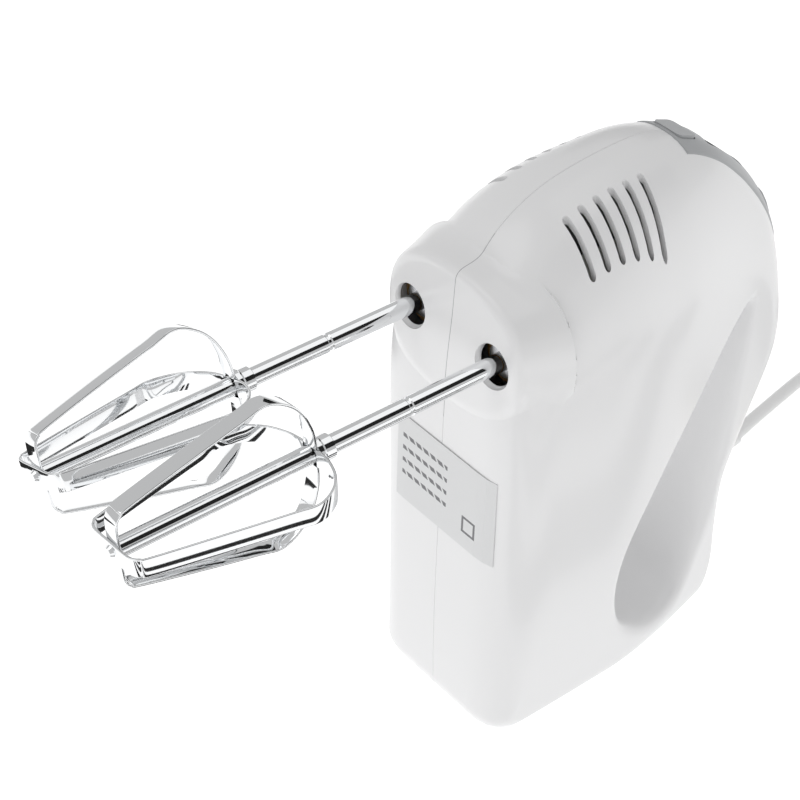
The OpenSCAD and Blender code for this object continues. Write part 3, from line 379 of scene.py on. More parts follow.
        rows_per_metre, dashes_per_metre, dash_slant = 190.0, 260.0, 0.7
        x, z = split.outputs["X"], split.outputs["Z"]
        row = math_node("FRACT", math_node("MULTIPLY", z, rows_per_metre), 0.0)
        slant = math_node("ADD", x, math_node("MULTIPLY", z, dash_slant))
        dash = math_node("FRACT", math_node("MULTIPLY", slant, dashes_per_metre), 0.0)
        rows = math_node("MULTIPLY", between(row, 0.30, 0.62), math_node("GREATER_THAN", dash, 0.28))
        area = math_node("MULTIPLY", between(x, -0.020, 0.004), between(z, 0.0895, 0.1115))
        marks = math_node("MULTIPLY", rows, area)
        outer = math_node("MULTIPLY", between(x, 0.0125, 0.0195), between(z, 0.0865, 0.0935))
        inner = math_node("MULTIPLY", between(x, 0.0135, 0.0185), between(z, 0.0875, 0.0925))
        marks = math_node("MAXIMUM", marks, math_node("SUBTRACT", outer, inner))
        mix = nodes.new("ShaderNodeMix")
        mix.data_type = "RGBA"
        mix.inputs["A"].default_value = (*FINISHES["label_film"].colour, 1.0)
        mix.inputs["B"].default_value = (0.16, 0.16, 0.17, 1.0)
        links.new(marks, mix.inputs["Factor"])
        links.new(mix.outputs["Result"], shader.inputs["Base Color"])
        return material


# ---- Housing --------------------------------------------------------------------------------------


@dataclass
class HousingSizes:
    """Sizes of the housing law in millimetres."""

    width: float = 76.4
    grip: float = 34.0
    wall: float = 2.4
    power: float = 2.5
    hub: tuple[float, float] = (36.0, 62.0)
    taper_height: float = 120.0
    taper: float = 0.11
    narrow_y: float = 86.0
    wide_y: float = -15.0
    strip: float = 0.4
    groove: float = 0.22


class HousingLaw:
    """The housing skin as a half width over the side view.

    A ray from the hub meets the outline at o and the finger opening at g. At distance d from o along it
    x = w(y, z) - round(d, o.r, o.rx) - round(run - d, g.r, g.rx), with
    round(d, r, rx) = rx (1 - (1 - q^n)^(1/n)) and q = clip(1 - d / r, 0, 1).
    """

    OUTLINE = np.array([
        [-48, -0.5, 9, 13], [-55.5, 0.8, 10, 15], [-58.6, 4, 12, 17], [-59.3, 12, 16, 18], [-59, 45, 20, 19],
        [-57.5, 90, 20, 19], [-55.5, 140, 20, 19], [-52, 165, 28, 24], [-45, 181, 42, 32], [-34, 194, 56, 39],
        [-17, 202.5, 72, 39], [6, 206, 80, 39], [28, 205.5, 66, 39], [49, 197.5, 52, 39], [68, 181.5, 38, 39],
        [82, 161, 26, 39], [89.5, 135, 18, 39], [92.5, 105, 15, 39], [82, 75, 15, 39], [70, 48, 15, 39],
        [64.5, 25, 14, 39], [61.5, 9, 11, 22], [56, 0.5, 9, 12], [48, -0.5, 8, 10], [24, -0.5, 8, 9],
        [-14, -0.5, 8, 10],
    ])
    OPENING = np.array([
        [64, 128, 3, 3], [41, 108, 2.5, 2.5], [17, 86.5, 2.5, 2.5], [1, 65, 3, 3], [-3, 45, 5, 5],
        [1, 26, 6, 6], [12, 15.5, 6, 6], [26, 13, 7, 7], [37, 19, 9, 10], [44, 36, 13, 20],
        [51, 60, 15, 39], [59, 85, 15, 39], [65.5, 110, 14, 39], [68, 124, 10, 20],
    ])

    def __init__(self, sizes: HousingSizes) -> None:
        self.sizes = sizes
        self.outline = self._by_angle(closed_spline(self.OUTLINE, 5200))
        self.opening = self._by_angle(closed_spline(self.OPENING, 4200))

    def _by_angle(self, curve: Array) -> tuple[Array, Array]:
        """The curve as (angle about the hub, row), sorted by angle and repeated one turn each way."""
        angle = np.arctan2(curve[:, 1] - self.sizes.hub[1], curve[:, 0] - self.sizes.hub[0])
        order = np.argsort(angle)
        angle, curve = angle[order], curve[order]
        turn = 2 * np.pi
        return np.concatenate([angle - turn, angle, angle + turn]), np.vstack([curve, curve, curve])

    @staticmethod
    def _at(table: tuple[Array, Array], angle: Array) -> Array:
        """Rows of a by-angle table at the given angles."""
        return np.stack([np.interp(angle, table[0], table[1][:, k]) for k in range(4)], -1)

    def width_at(self, y: Array, z: Array) -> Array:
        """Half width before the edges are rounded: grip/2 + (W - grip/2) t^2 (3 - 2 t), t falling from 1 at the
        broad front to 0 at the grip, and W shrinking by taper times l towards the heel."""
        s = self.sizes
        low = np.clip((s.taper_height - z) / s.taper_height, 0, 1) ** 1.6
        t = np.clip((s.narrow_y + 15 * low - y) / (s.narrow_y - s.wide_y + 5 * low), 0, 1)
        return s.grip / 2 + (s.width / 2 * (1 - s.taper * low) - s.grip / 2) * t * t * (3 - 2 * t)

    def rounding(self, d: Array, r: Array, rx: Array) -> Array:
        """Loss of half width at distance d inside an edge."""
        n = self.sizes.power
        q = np.clip(1 - d / r, 0, 1)
        return rx * (1 - (1 - q**n) ** (1 / n))

    def skin(self, o: Array, g: Array, d: Array, inset: float) -> Array:
        """Half width at distance d along each ray from o to g, for the skin moved in by inset."""
        s = self.sizes
        run = np.hypot(*(g - o)[..., :2].T).T[..., None]
        y = o[..., 0:1] + (g - o)[..., 0:1] * d / run
        z = o[..., 1:2] + (g - o)[..., 1:2] * d / run
        w = self.width_at(y, z)
        o_round = self.rounding(d - inset, np.maximum(1, o[..., 2:3] - inset),
                                np.minimum(o[..., 3:4], w - s.strip) - inset)
        g_round = self.rounding(run - d - inset, np.maximum(1, g[..., 2:3] - inset),
                                np.maximum(0.5, np.minimum(g[..., 3:4], w - s.strip) - inset))
        return np.maximum(s.strip, w - inset - o_round - g_round)

    def inside(self, p: Array) -> Array:
        """Signed depth of points (..., 3) under the skin across X, positive inside and negative outside."""
        y, z = p[..., 1], p[..., 2]
        hub = self.sizes.hub
        angle = np.arctan2(z - hub[1], y - hub[0])
        o, g = self._at(self.outline, angle), self._at(self.opening, angle)
        d = np.hypot(o[..., 0] - hub[0], o[..., 1] - hub[1]) - np.hypot(y - hub[0], z - hub[1])
        x = self.skin(o, g, np.maximum(d, 0.0)[..., None], 0.0)[..., 0]
        return np.where(d > 0, x - np.abs(p[..., 0]), np.minimum(d, -1e-6))

    def half_shell(self, side: Side, rays: int = 340) -> bpy.types.Object:
        """One moulded half, closed, with the seam's groove along its edges.

        Args:
            side: Which half.
            rays: Number of rays about the hub.
        Returns:
            The closed object: for each ray, the outer skin out, and the inner skin back.
        """
        s = self.sizes
        angle = self._spread_angles(rays)
        o, g = self._at(self.outline, angle), self._at(self.opening, angle)
        run = np.hypot(*(g - o)[:, :2].T)[:, None]

        def depths(inset: float, edge: Array, flat: int) -> Array:
            first = np.minimum(o[:, 2:3] - inset, run * 0.48)
            last = np.minimum(g[:, 2:3] - inset, run - 2 * inset - first)
            middle = run - 2 * inset - first - last
            share = np.linspace(0, 1, flat + 2)[1:-1]
            return inset + np.concatenate(
                [first * edge, first + middle * share, run - 2 * inset - last * edge[::-1]], 1)

        def rows(inset: float, edge: Array, flat: int, lip: float) -> Array:
            d = depths(inset, edge, flat)
            x = self._skin_rows(o, g, d, inset)
            ends = np.array([[0.0, lip], [s.groove, 0.0]])
            x = np.concatenate([np.tile(ends[:, 0], (len(o), 1)), x, np.tile(ends[::-1, 0], (len(o), 1))], 1)
            low, high = d[:, :1], d[:, -1:]
            d = np.concatenate([low + ends[:, 1], d, high - ends[::-1, 1]], 1)
            yz = o[:, None, :2] + (g - o)[:, None, :2] * (d / run)[..., None]
            return np.stack([side.value * x, yz[..., 0], np.maximum(yz[..., 1], inset * 0.999)], -1)

        ease = 1 - np.cos(np.linspace(0, np.pi / 2, 17))
        outer = rows(0.0, ease, 12, 0.3)
        inner = rows(s.wall, 1 - np.cos(np.linspace(0, np.pi / 2, 8)), 4, 0.0)[:, ::-1]
        obj = solid_of_rings(f"shell_{side.word}", np.concatenate([outer, inner], 1), True, 32)
        log.info("shell_%s: %d faces", side.word, len(obj.data.polygons))
        return obj

    def _skin_rows(self, o: Array, g: Array, d: Array, inset: float) -> Array:
        """skin() for a table of depths (rays, points)."""
        columns = np.ones((1, d.shape[1], 1))
        x = self.skin(o[:, None, :] * columns, g[:, None, :] * columns, d[..., None], inset)
        return x[..., 0]

    def _spread_angles(self, count: int) -> Array:
        """Angles about the hub that share the outline's length evenly."""
        angle, rows = self.outline
        keep = (angle >= -np.pi) & (angle < np.pi)
        a, p = angle[keep], rows[keep, :2]
        p = np.vstack([p, p[:1]])
        a = np.append(a, a[0] + 2 * np.pi)
        length = np.concatenate([[0], np.cumsum(np.hypot(*np.diff(p, axis=0).T))])
        return np.interp(np.linspace(0, length[-1], count, endpoint=False), length, a)


@dataclass
class BossSizes:
    """Sizes of the socket boss in millimetres."""

    half_width: float = 34.0
    half_height: float = 24.0
    face_y: float = -53.8
    lean: float = 0.0805
    depth: float = 15.0
    flare: float = 4.5
    flare_height: float = 2.7
    power: float = 2.4
    axis_z: float = 160.0
    rim: float = 1.7
    blend: float = 2.4
    wall: float = 2.0
    socket_r: float = 7.3
    spacing: float = 42.0


class Boss:
    """The leaning oval boss round the two sockets, grown smoothly out of the housing skin."""

    CENTRE = np.array([0.0, -10.0, 160.0])
    HALVINGS = 34
    FAR = 75.0

    def __init__(self, law: HousingLaw, sizes: BossSizes) -> None:
        self.law, self.sizes = law, sizes

    def oval(self, half_width: float, half_height: float, t: Array) -> tuple[Array, Array]:
        """Superellipse (a sgn(cos t) |cos t|^(2/n), b sgn(sin t) |sin t|^(2/n)) at the angles t."""
        across, up = np.cos(t), np.sin(t)
        power = 2 / self.sizes.power
        return (half_width * np.sign(across) * np.abs(across) ** power,
                half_height * np.sign(up) * np.abs(up) ** power)

    @staticmethod
    def shares(t: Array) -> tuple[Array, Array]:
        """How far out each ring lies, as a share of the face's oval, and the same for each angle.

        The rings are close together at the rim. Past the wall they spread to a limit that is nearer below the
        boss, where the housing's front is flat, than above it and beside it.
        """
        top_limit, low_limit, spread, wall_share, fan_share = 2.25, 1.30, 0.95, 1.3, 1.2
        limit = np.where(np.sin(t) < 0, low_limit + spread * (1 - np.abs(np.sin(t))) ** 0.7, top_limit)
        face_part, rim_part = np.linspace(0.012, 0.80, 14), np.linspace(0.83, 1.12, 30)
        wall_part = np.linspace(1.15, wall_share, 6)
        outside = wall_share + (limit.max() - wall_share) * np.linspace(0.04, 1, 34)
        share = np.concatenate([face_part, rim_part, wall_part, outside])
        fan = fan_share + (share[:, None] - fan_share) * (limit[None] - fan_share) / (share[-1] - fan_share)
        return share, np.where(share[:, None] <= fan_share, share[:, None], fan)

    def inside(self, p: Array) -> Array:
        """Depth under the boss skin: a smooth minimum of the distance under the leaning face and the depth under
        the flared oval wall, min(a, b) - h^2 / (4 k) with h = max(k - |a - b|, 0)."""
        s = self.sizes
        x, y, z = p[..., 0], p[..., 1], p[..., 2] - s.axis_z
        face = y - (s.face_y + s.lean * z)
        back = np.clip(face / s.depth, 0, 3)
        a = s.half_width + s.flare * back**1.3
        b = s.half_height + s.flare_height * back**1.3
        level = (np.abs(x / a) ** s.power + np.abs(z / b) ** s.power) ** (1 / s.power)
        side = (1 - level) * np.minimum(a, b)
        h = np.maximum(s.rim * 2 - np.abs(face - side), 0)
        return np.minimum(face, side) - h * h / (8 * s.rim)

    def reach(self, test: Callable[[Array], Array], way: Array, far: float) -> Array:
        """Distance from CENTRE along each unit way to the skin, by halving the gap HALVINGS times."""
        low, high = np.zeros(way.shape[:-1]), np.full(way.shape[:-1], far)
        for _ in range(self.HALVINGS):
            mid = (low + high) / 2
            ok = test(self.CENTRE + way * mid[..., None]) > 0
            low, high = np.where(ok, mid, low), np.where(ok, high, mid)
        return low

    def build(self) -> bpy.types.Object:
        """Closed cap over the boss, its radius from CENTRE the smooth maximum of the housing's and the boss's:
        max(a, b) + k h^2 / 4 with h = max(1 - |a - b| / k, 0). Its last rings lie a hair under the skin."""
        s = self.sizes
        sunk, outer_rings, ahead = 0.10, 3, 44.0
        t = np.linspace(0, 2 * np.pi, 220, endpoint=False)
        share, scale = self.shares(t)
        across, up = self.oval(s.half_width, s.half_height, t)
        way = np.stack(np.broadcast_arrays(across * scale, -ahead * np.ones_like(scale), up * scale), -1)
        way = way / np.linalg.norm(way, axis=-1, keepdims=True)
        body = self.reach(self.law.inside, way, self.FAR) - sunk
        boss = self.reach(self.inside, way, self.FAR)
        boss = np.where(self.CENTRE[1] + way[..., 1] * boss > s.face_y + s.depth + 4.0, 0.0, boss)
        h = np.maximum(s.blend - np.abs(body - boss), 0) / s.blend
        blended = share[:, None] < share[-1 - outer_rings]
        radius = np.maximum(body, boss) + h * h * s.blend / 4 * blended
        outer = self.CENTRE + way * radius[..., None]
        inner = self.CENTRE + way * (radius - s.wall)[..., None]
        obj = solid_of_rings("boss", np.concatenate([outer, inner[::-1]], 0), False, 40)
        log.info("boss: %d faces", len(obj.data.polygons))
        return obj

    def sockets(self) -> list[bpy.types.Object]:
        """Cutters for the two sockets, opened a little at the mouth."""
        s = self.sizes
        made = []
        for side in Side:
            x = side.value * s.spacing / 2
            r, face = s.socket_r, s.face_y
            profile = np.array([
                [r + 1.2, -62.0], [r + 0.9, face - 0.3], [r + 0.25, face + 0.55],
                [r, face + 1.2], [r, face + 22]])
            made.append(lathe_y(f"socket_{side.word}", profile, (x, s.axis_z)))
        return made

    def core(self) -> bpy.types.Object:
        """Cutter that opens the housing behind the boss: ovals inside the boss wall, from far in front."""
        s = self.sizes
        t = np.linspace(0, 2 * np.pi, 90, endpoint=False)
        rings = []
        for y, extra in ((-66.0, 0.0), (-54.0, 0.0), (-41.0, 3.0)):
            across, up = self.oval(s.half_width - 3.5 + extra, s.half_height - 4.5 + extra * 0.6, t)
            rings.append(np.stack([across, np.full_like(t, y), s.axis_z + up], -1))
        return solid_of_rings("core", np.array(rings), False)


@dataclass
class VentSizes:
    """Sizes of the cooling slots in millimetres."""

    count: int = 6
    first_y: float = -20.0
    pitch: float = 6.3
    width: float = 2.6
    near_x: float = 14.0
    far_x: float = 30.0
    low_z: float = 176.0
    high_z: float = 216.0


class Vents:
    """Upright slots through the crown, each a rounded block."""

    def __init__(self, sizes: VentSizes) -> None:
        self.sizes = sizes

    def cutters(self, side: Side) -> list[bpy.types.Object]:
        """Closed rounded blocks for one side."""
        s = self.sizes
        r = s.width / 2
        t = np.linspace(0, np.pi, 13)
        ring = np.concatenate([
            np.stack([s.far_x - r + r * np.sin(t), r * np.cos(t)], -1),
            np.stack([s.near_x + r - r * np.sin(t), -r * np.cos(t)], -1)])
        made = []
        for k in range(s.count):
            y = s.first_y + k * s.pitch
            rings = np.array([
                np.stack([side.value * ring[:, 0], y + ring[:, 1], np.full(len(ring), z)], -1)
                for z in (s.low_z, s.high_z)])
            made.append(solid_of_rings(f"vent_{side.word}_{k}", rings, False))
        return made


def soft_block(
    name: str, width: float, length: float, low: float, high: float, place: Matrix
) -> bpy.types.Object:
    """Cutter block with rounded upright edges, its own Z up, put in place by a matrix in millimetres."""
    r = 2.0
    t = np.linspace(0, np.pi / 2, 7)
    ring = np.concatenate([
        np.array([width / 2 - r, length / 2 - r]) + np.stack([np.cos(t), np.sin(t)], -1) * r,
        np.array([-width / 2 + r, length / 2 - r]) + np.stack([-np.sin(t), np.cos(t)], -1) * r,
        np.array([-width / 2 + r, -length / 2 + r]) + np.stack([-np.cos(t), -np.sin(t)], -1) * r,
        np.array([width / 2 - r, -length / 2 + r]) + np.stack([np.sin(t), -np.cos(t)], -1) * r])
    rings = np.array([np.column_stack([ring, np.full(len(ring), z)]) for z in (low, high)])
    m = np.array(place)
    return solid_of_rings(name, rings @ m[:3, :3].T + m[:3, 3], False)


@dataclass
class PanelSizes:
    """Sizes of the control panel's skin in millimetres."""

    first: float = 12.0 + 1.0 / 3
    last: float = 15.0 + 1.0 / 3
    width: float = 25.0
    proud: float = 0.46
    below: float = 0.5
    edge: float = 0.7


class Panel:
    """Satin strip that wraps the back of the crown over the carried panel, open where the controls sit."""

    def __init__(self, law: HousingLaw, sizes: PanelSizes) -> None:
        self.law, self.sizes = law, sizes

    def build(self, openings: Sequence[bpy.types.Object]) -> bpy.types.Object:
        """Grid over the strip: for each ray of the law and each x, the depth where the skin is |x| wide,
        raised by proud less a rolled edge proud (1 - (1 - e^2)^(1/2)), e growing over the last edge mm.

        Args:
            openings: Closed cutters for the trough, the well and the button.
        Returns:
            The closed strip.
        """
        s, law = self.sizes, self.law
        m = len(law.OUTLINE)
        rows, columns, deepest, halvings = 150, 61, 40.0, 30
        t = np.linspace(s.first, s.last, rows)
        i = t.astype(int)
        spot = catmull(*[law.OUTLINE[(i + k) % m] for k in (-1, 0, 1, 2)], (t - i)[:, None])
        hub = law.sizes.hub
        angle = np.arctan2(spot[:, 1] - hub[1], spot[:, 0] - hub[0])
        o, g = law._at(law.outline, angle), law._at(law.opening, angle)
        side = np.linspace(-1, 1, columns)
        side = np.sign(side) * np.abs(side) ** 0.8 * s.width / 2
        low, high = np.zeros((rows, columns)), np.full((rows, columns), deepest)
        for _ in range(halvings):
            mid = (low + high) / 2
            narrow = law._skin_rows(o, g, mid, 0.0) < np.abs(side)
            low, high = np.where(narrow, mid, low), np.where(narrow, high, mid)
        low = np.where(np.abs(side) < 1.0, np.minimum(low, 0.02), low)
        along = np.concatenate([[0], np.cumsum(np.hypot(*np.diff(o[:, :2], axis=0).T))])
        near = np.minimum(s.width / 2 - np.abs(side)[None], np.minimum(along, along[-1] - along)[:, None])
        e = np.clip(1 - near / s.edge, 0, 1)
        lift = s.proud - (s.proud + 0.1) * (1 - np.sqrt(np.maximum(0, 1 - e * e)))
        way = (g - o)[:, None, :2] / np.hypot(*(g - o)[:, :2].T)[:, None, None]

        def layer(depth: Array) -> Array:
            yz = o[:, None, :2] + way * depth[..., None]
            return np.stack([np.broadcast_to(side, depth.shape), yz[..., 0], yz[..., 1]], -1)

        top, under = layer(low - lift), layer(low + s.below)
        obj = solid_of_rings("panel_skin", np.concatenate([top, under[:, ::-1]], 1), False, 40)
        cut(obj, openings, 40)
        log.info("panel_skin: %d faces", len(obj.data.polygons))
        return obj


class Housing:
    """Both shell halves, the boss and their cuts."""

    SLIDER = (60.0, 189.253, -40.288)
    TURBO = (41.0, 201.483, -20.6221)
    BUTTON_Y = 82.388
    AXIS_Z = 160.0
    SEAM_LINE = 0.00016

    def __init__(self, law: HousingLaw, shaders: Shaders) -> None:
        self.law, self.shaders = law, shaders
        self.boss = Boss(law, BossSizes())
        self.vents = Vents(VentSizes())

    @staticmethod
    def _on(at: tuple[float, float, float]) -> Matrix:
        """Matrix that puts a block on the back-top outline: at = (y, z, tilt in degrees)."""
        return Matrix.Translation((0, at[0], at[1])) @ Matrix.Rotation(math.radians(at[2]), 4, "X")

    def _control_blocks(self, name: str, slider: Sequence[float],
                        turbo: Sequence[float]) -> list[bpy.types.Object]:
        """Cutters at the slider, the turbo button and the eject button.

        Args:
            name: First word of their names.
            slider: Width, length, lowest and highest level of the slider's block.
            turbo: The same for the turbo button's block.
        Returns:
            The three cutters.
        """
        back = Matrix.Translation((0, self.BUTTON_Y - 20, self.AXIS_Z))
        back = back @ Matrix.Rotation(-math.pi / 2, 4, "X")
        return [
            soft_block(f"{name}_slider", *slider, self._on(self.SLIDER)),
            soft_block(f"{name}_turbo", *turbo, self._on(self.TURBO)),
            soft_block(f"{name}_button", 16.6, 11.6, 0.0, 40.0, back)]

    def _panel(self) -> None:
        """Builds the panel's skin, open over the trough, the turbo well and the eject button."""
        gaps = self._control_blocks("gap", (15.0, 25.0, -9.0, 6.0), (13.6, 9.6, -9.0, 6.0))
        panel = Panel(self.law, PanelSizes()).build(gaps)
        panel.data.materials.append(self.shaders.get("panel_plastic"))
        discard(gaps)
        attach(panel, "housing")

    def build(self) -> None:
        """Builds the panel's skin, then the shells and the boss in place of the two plain halves."""
        sockets, core = self.boss.sockets(), self.boss.core()
        seats = self._control_blocks("seat", (17.6, 27.6, -9.0, 4.0), (16.2, 12.2, -15.0, 4.0))
        self._panel()
        made = []
        for side in Side:
            shell = self.law.half_shell(side)
            vents = self.vents.cutters(side)
            shell.data.materials.append(self.shaders.get("housing_plastic"))
            cut(shell, [*vents, core, *seats], 32)
            discard(vents)
            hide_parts(f"housing_{side.word}")
            made.append(shell)
        boss = self.boss.build()
        boss.data.materials.append(self.shaders.seam_line("housing_plastic", self.SEAM_LINE))
        cut(boss, sockets, 40)
        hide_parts("housing_right", "housing_left")
        made.append(boss)
        discard([*sockets, core, *seats])
        for piece in made:
            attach(piece, "housing")


# ---- Beaters ---------------------------------------------------------------------------------------


@dataclass
class BeaterSizes:
    """Sizes of one beater in millimetres."""

    spacing: float = 42.0
    axis_z: float = 160.0
    tip_y: float = -195.8
    cage: float = 72.0
    cage_r: float = 26.0
    tip_r: float = 13.0
    strip_w: float = 6.4
    strip_t: float = 0.9
    shaft_r: float = 3.2
    inner_end: float = -20.0
    groove_y: float = -88.0
    phase: tuple[float, float] = (6.0, 20.0)


class Beater:
    """One beater: a turned shaft and two crossed loops of bent strip."""

    def __init__(self, side: Side, sizes: BeaterSizes, shaders: Shaders) -> None:
        self.side, self.sizes, self.shaders = side, sizes, shaders

    def _half_line(self, top: float) -> Array:
        """Half of a loop's centre line as radius and distance from the tip."""
        s = self.sizes
        return np.array([
            [s.shaft_r + 0.05, s.cage - 1], [6, s.cage - 1], [s.cage_r * 0.42, s.cage - 1.8],
            [s.cage_r * 0.68, s.cage - 4.6], [s.cage_r * 0.88, s.cage - 9.4], [s.cage_r, s.cage - 16.5],
            [s.cage_r * 0.93, s.cage - 25], [s.tip_r + (s.cage_r - s.tip_r) * 0.5, s.cage * 0.38],
            [s.tip_r + 1, top + 5], [s.tip_r - 0.5, top + 2], [s.tip_r - 2.6, top + 0.4], [s.tip_r - 6, top],
            [s.shaft_r, top]])

    def loop(self, name: str, top: float, turn: float) -> bpy.types.Object:
        """A strip swept along the loop: line point + a n t/2 + b (w/2) z, over a rounded oblong (a, b)."""
        s = self.sizes
        half = open_spline(self._half_line(top), 9)
        line = np.vstack([half, half[::-1] * [-1, 1]])
        ahead = np.gradient(line, axis=0)
        ahead /= np.linalg.norm(ahead, axis=1, keepdims=True)
        normal = np.stack([-ahead[:, 1], ahead[:, 0]], -1)
        half_t, half_w, r = s.strip_t / 2, s.strip_w / 2, 0.28
        t = np.linspace(0, np.pi / 2, 4)
        quarter = np.stack([np.cos(t), np.sin(t)], -1) * r + [half_t - r, half_w - r]
        section = np.concatenate([
            quarter, (quarter * [-1, 1])[::-1], quarter * [-1, -1], (quarter * [1, -1])[::-1]])
        flat = line[:, None] + normal[:, None] * section[None, :, :1]
        local = np.stack([flat[..., 0], s.tip_y + flat[..., 1],
                          np.broadcast_to(section[None, :, 1], flat.shape[:2])], -1)
        return solid_of_rings(name, self._turned(local, turn), False, 50)

    def _turned(self, p: Array, turn: float) -> Array:
        """Points turned about the beater's own Y axis by turn less its rest phase, then moved to the axis."""
        s = self.sizes
        a = math.radians(turn - s.phase[0 if self.side is Side.RIGHT else 1])
        x, y, z = p[..., 0], p[..., 1], p[..., 2]
        return np.stack([x * math.cos(a) + z * math.sin(a) + self.side.value * s.spacing / 2, y,
                         -x * math.sin(a) + z * math.cos(a) + s.axis_z], -1)

    def shaft(self) -> bpy.types.Object:
        """Turned shaft with the ring groove that shows in front of the boss."""
        s = self.sizes
        r, g = s.shaft_r, s.groove_y
        profile = np.array([
            [0.4, s.tip_y + 1.9], [r - 0.3, s.tip_y + 1.9], [r, s.tip_y + 2.2],
            [r, g - 0.9], [r - 0.38, g - 0.5], [r - 0.38, g + 0.5], [r, g + 0.9],
            [r, -70], [r, s.inner_end - 0.6], [r - 0.6, s.inner_end], [0.4, s.inner_end]])
        return lathe_y(f"shaft_{self.side.word}", profile,
                       (self.side.value * s.spacing / 2, s.axis_z), 72)

    def build(self) -> list[bpy.types.Object]:
        """Builds the pieces that stand for the plain loops and shaft."""
        s, word = self.sizes, self.side.word
        made = [self.loop(f"outer_loop_{word}", s.strip_t / 2, 0.0),
                self.loop(f"inner_loop_{word}", s.strip_t * 1.5 + 0.02, 90.0), self.shaft()]
        for obj, node in zip(made, ("beater_outer_loop", "beater_inner_loop", "beater_shaft")):
            obj.data.materials.append(self.shaders.get("beater_chrome"))
            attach(obj, f"beater_{word}")
            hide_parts(f"{node}_{word}")
            log.info("%s: %d faces", obj.name, len(obj.data.polygons))
        return made


# ---- Springs ---------------------------------------------------------------------------------------


@dataclass
class SpringSizes:
    """Sizes of one coil spring in millimetres, and how far its joint closes it."""

    name: str
    joint: str
    coil_r: float
    wire_r: float
    length: float
    turns: int
    foot: tuple[float, float]
    tilt: float
    travel: float


SPRINGS = (
    SpringSizes("eject_spring", "eject_press", 7.2, 0.5, 25.98, 6, (39.398, 160.0), 0.0, 6.0),
    SpringSizes("turbo_spring", "turbo_press", 3.4, 0.35, 7.08, 4, (36.847, 190.449), 69.378, 2.4),
)


class Spring:
    """A helical spring, built as one fixed coil along its own axis."""

    def __init__(self, sizes: SpringSizes, shaders: Shaders) -> None:
        self.sizes, self.shaders = sizes, shaders

    def build(self) -> bpy.types.Object:
        """Wire of radius w swept round the helix (R cos t, w + (L - 2 w) s, R sin t), then tilted about X."""
        s = self.sizes
        u = np.linspace(0, 2 * np.pi, 12, endpoint=False)
        share = np.linspace(0, 1, s.turns * 28 + 1)[:, None]
        t = -2 * np.pi * s.turns * share
        r = s.coil_r + s.wire_r * np.cos(u)
        y = s.wire_r + (s.length - 2 * s.wire_r) * share + s.wire_r * np.sin(u)
        a = math.radians(s.tilt)
        x, z = r * np.cos(t), r * np.sin(t)
        rings = np.stack([x, s.foot[0] + y * math.cos(a) - z * math.sin(a),
                          s.foot[1] + y * math.sin(a) + z * math.cos(a)], -1)
        obj = solid_of_rings(f"{s.name}_coil", rings, False)
        obj.data.materials.append(self.shaders.get("spring_steel"))
        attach(obj, "housing")
        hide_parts(s.name)
        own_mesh(obj)
        return obj


# ---- Mains lead --------------------------------------------------------------------------------------


@dataclass
class LeadSizes:
    """Sizes of the mains lead in millimetres."""

    diameter: float = 5.2
    coil_y: float = 226.0
    coil_r: float = 31.0
    plug_y: float = 201.0
    plug_z: float = 6.9


class Lead:
    """The mains lead: out of the sleeve, down to the worktop, round a stored coil and up to its plug."""

    WAY = (
        (0, 89.4144, 46), (-2, 97, 45.4), (-4.6, 108, 45), (-7, 119, 44.6), (-10, 131, 43.6), (-14, 143, 40.6),
        (-18.5, 154, 35.5), (-23, 164.5, 28.5), (-27, 174, 20.5), (-30, 183, 13), (-32.3, 192, 7),
        (-34, 201, 3.6), (-35.4, 209, 2.6), (-36.2, 217, 2.6),
    )

    def __init__(self, sizes: LeadSizes, shaders: Shaders) -> None:
        self.sizes, self.shaders = sizes, shaders

    def _coil(self) -> Array:
        """Five and a half turns in two layers: radius steps in, the lead climbs, and it steps out again."""
        s = self.sizes
        d, low = s.diameter, s.diameter / 2
        turn = np.arange(0, 5.5 + 1e-9, 1 / 20)
        radius = np.interp(turn, [0, 0.8, 1.0, 1.8, 2.0, 3.1, 3.3, 4.1, 4.3, 5.5],
                           s.coil_r + d * np.array([1, 1, 0, 0, -1, -1, 0, 0, 1, 1]))
        height = low + np.interp(turn, [2.3, 2.5], [0, d])
        a = np.pi - 2 * np.pi * turn
        return np.stack([radius * np.cos(a), s.coil_y + radius * np.sin(a), height], -1)

    def points(self) -> Array:
        """All points of the lead's line in millimetres."""
        s = self.sizes
        x = s.coil_r + s.diameter
        tail = np.array([[x, s.coil_y - 8, 7.8], [x, s.coil_y - 16, 7.4], [x, s.plug_y + 4, s.plug_z],
                         [x, s.plug_y, s.plug_z]])
        return np.vstack([np.array(self.WAY, float), self._coil(), tail])

    def build(self) -> bpy.types.Object:
        s = self.sizes
        line = open_spline(self.points(), 1)
        data = bpy.data.curves.new("lead", "CURVE")
        data.dimensions, data.bevel_depth, data.bevel_resolution = "3D", s.diameter / 2 * MM, 6
        data.resolution_u, data.use_fill_caps = 3, True
        spline = data.splines.new("BEZIER")
        spline.bezier_points.add(len(line) - 1)
        spline.bezier_points.foreach_set("co", (line * MM).ravel())
        for point in spline.bezier_points:
            point.handle_left_type = point.handle_right_type = "AUTO"
        obj = bpy.data.objects.new("lead", data)
        bpy.context.scene.collection.objects.link(obj)
        data.materials.append(self.shaders.get("cord_rubber"))
        bpy.context.view_layer.update()
        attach(obj, "housing")
        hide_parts("mains_cord", "cord_coil", "cord_tail")
        return obj


# ---- Studio --------------------------------------------------------------------------------------------


@dataclass
class CameraSizes:
    """Place and aim of the camera: metres and degrees."""

    place: tuple[float, float, float] = (0.44247, -0.41941, 0.58734)
    azimuth: float = 52.06
    elevation: float = 38.37
    lens: float = 99.63
    sensor: float = 36.0


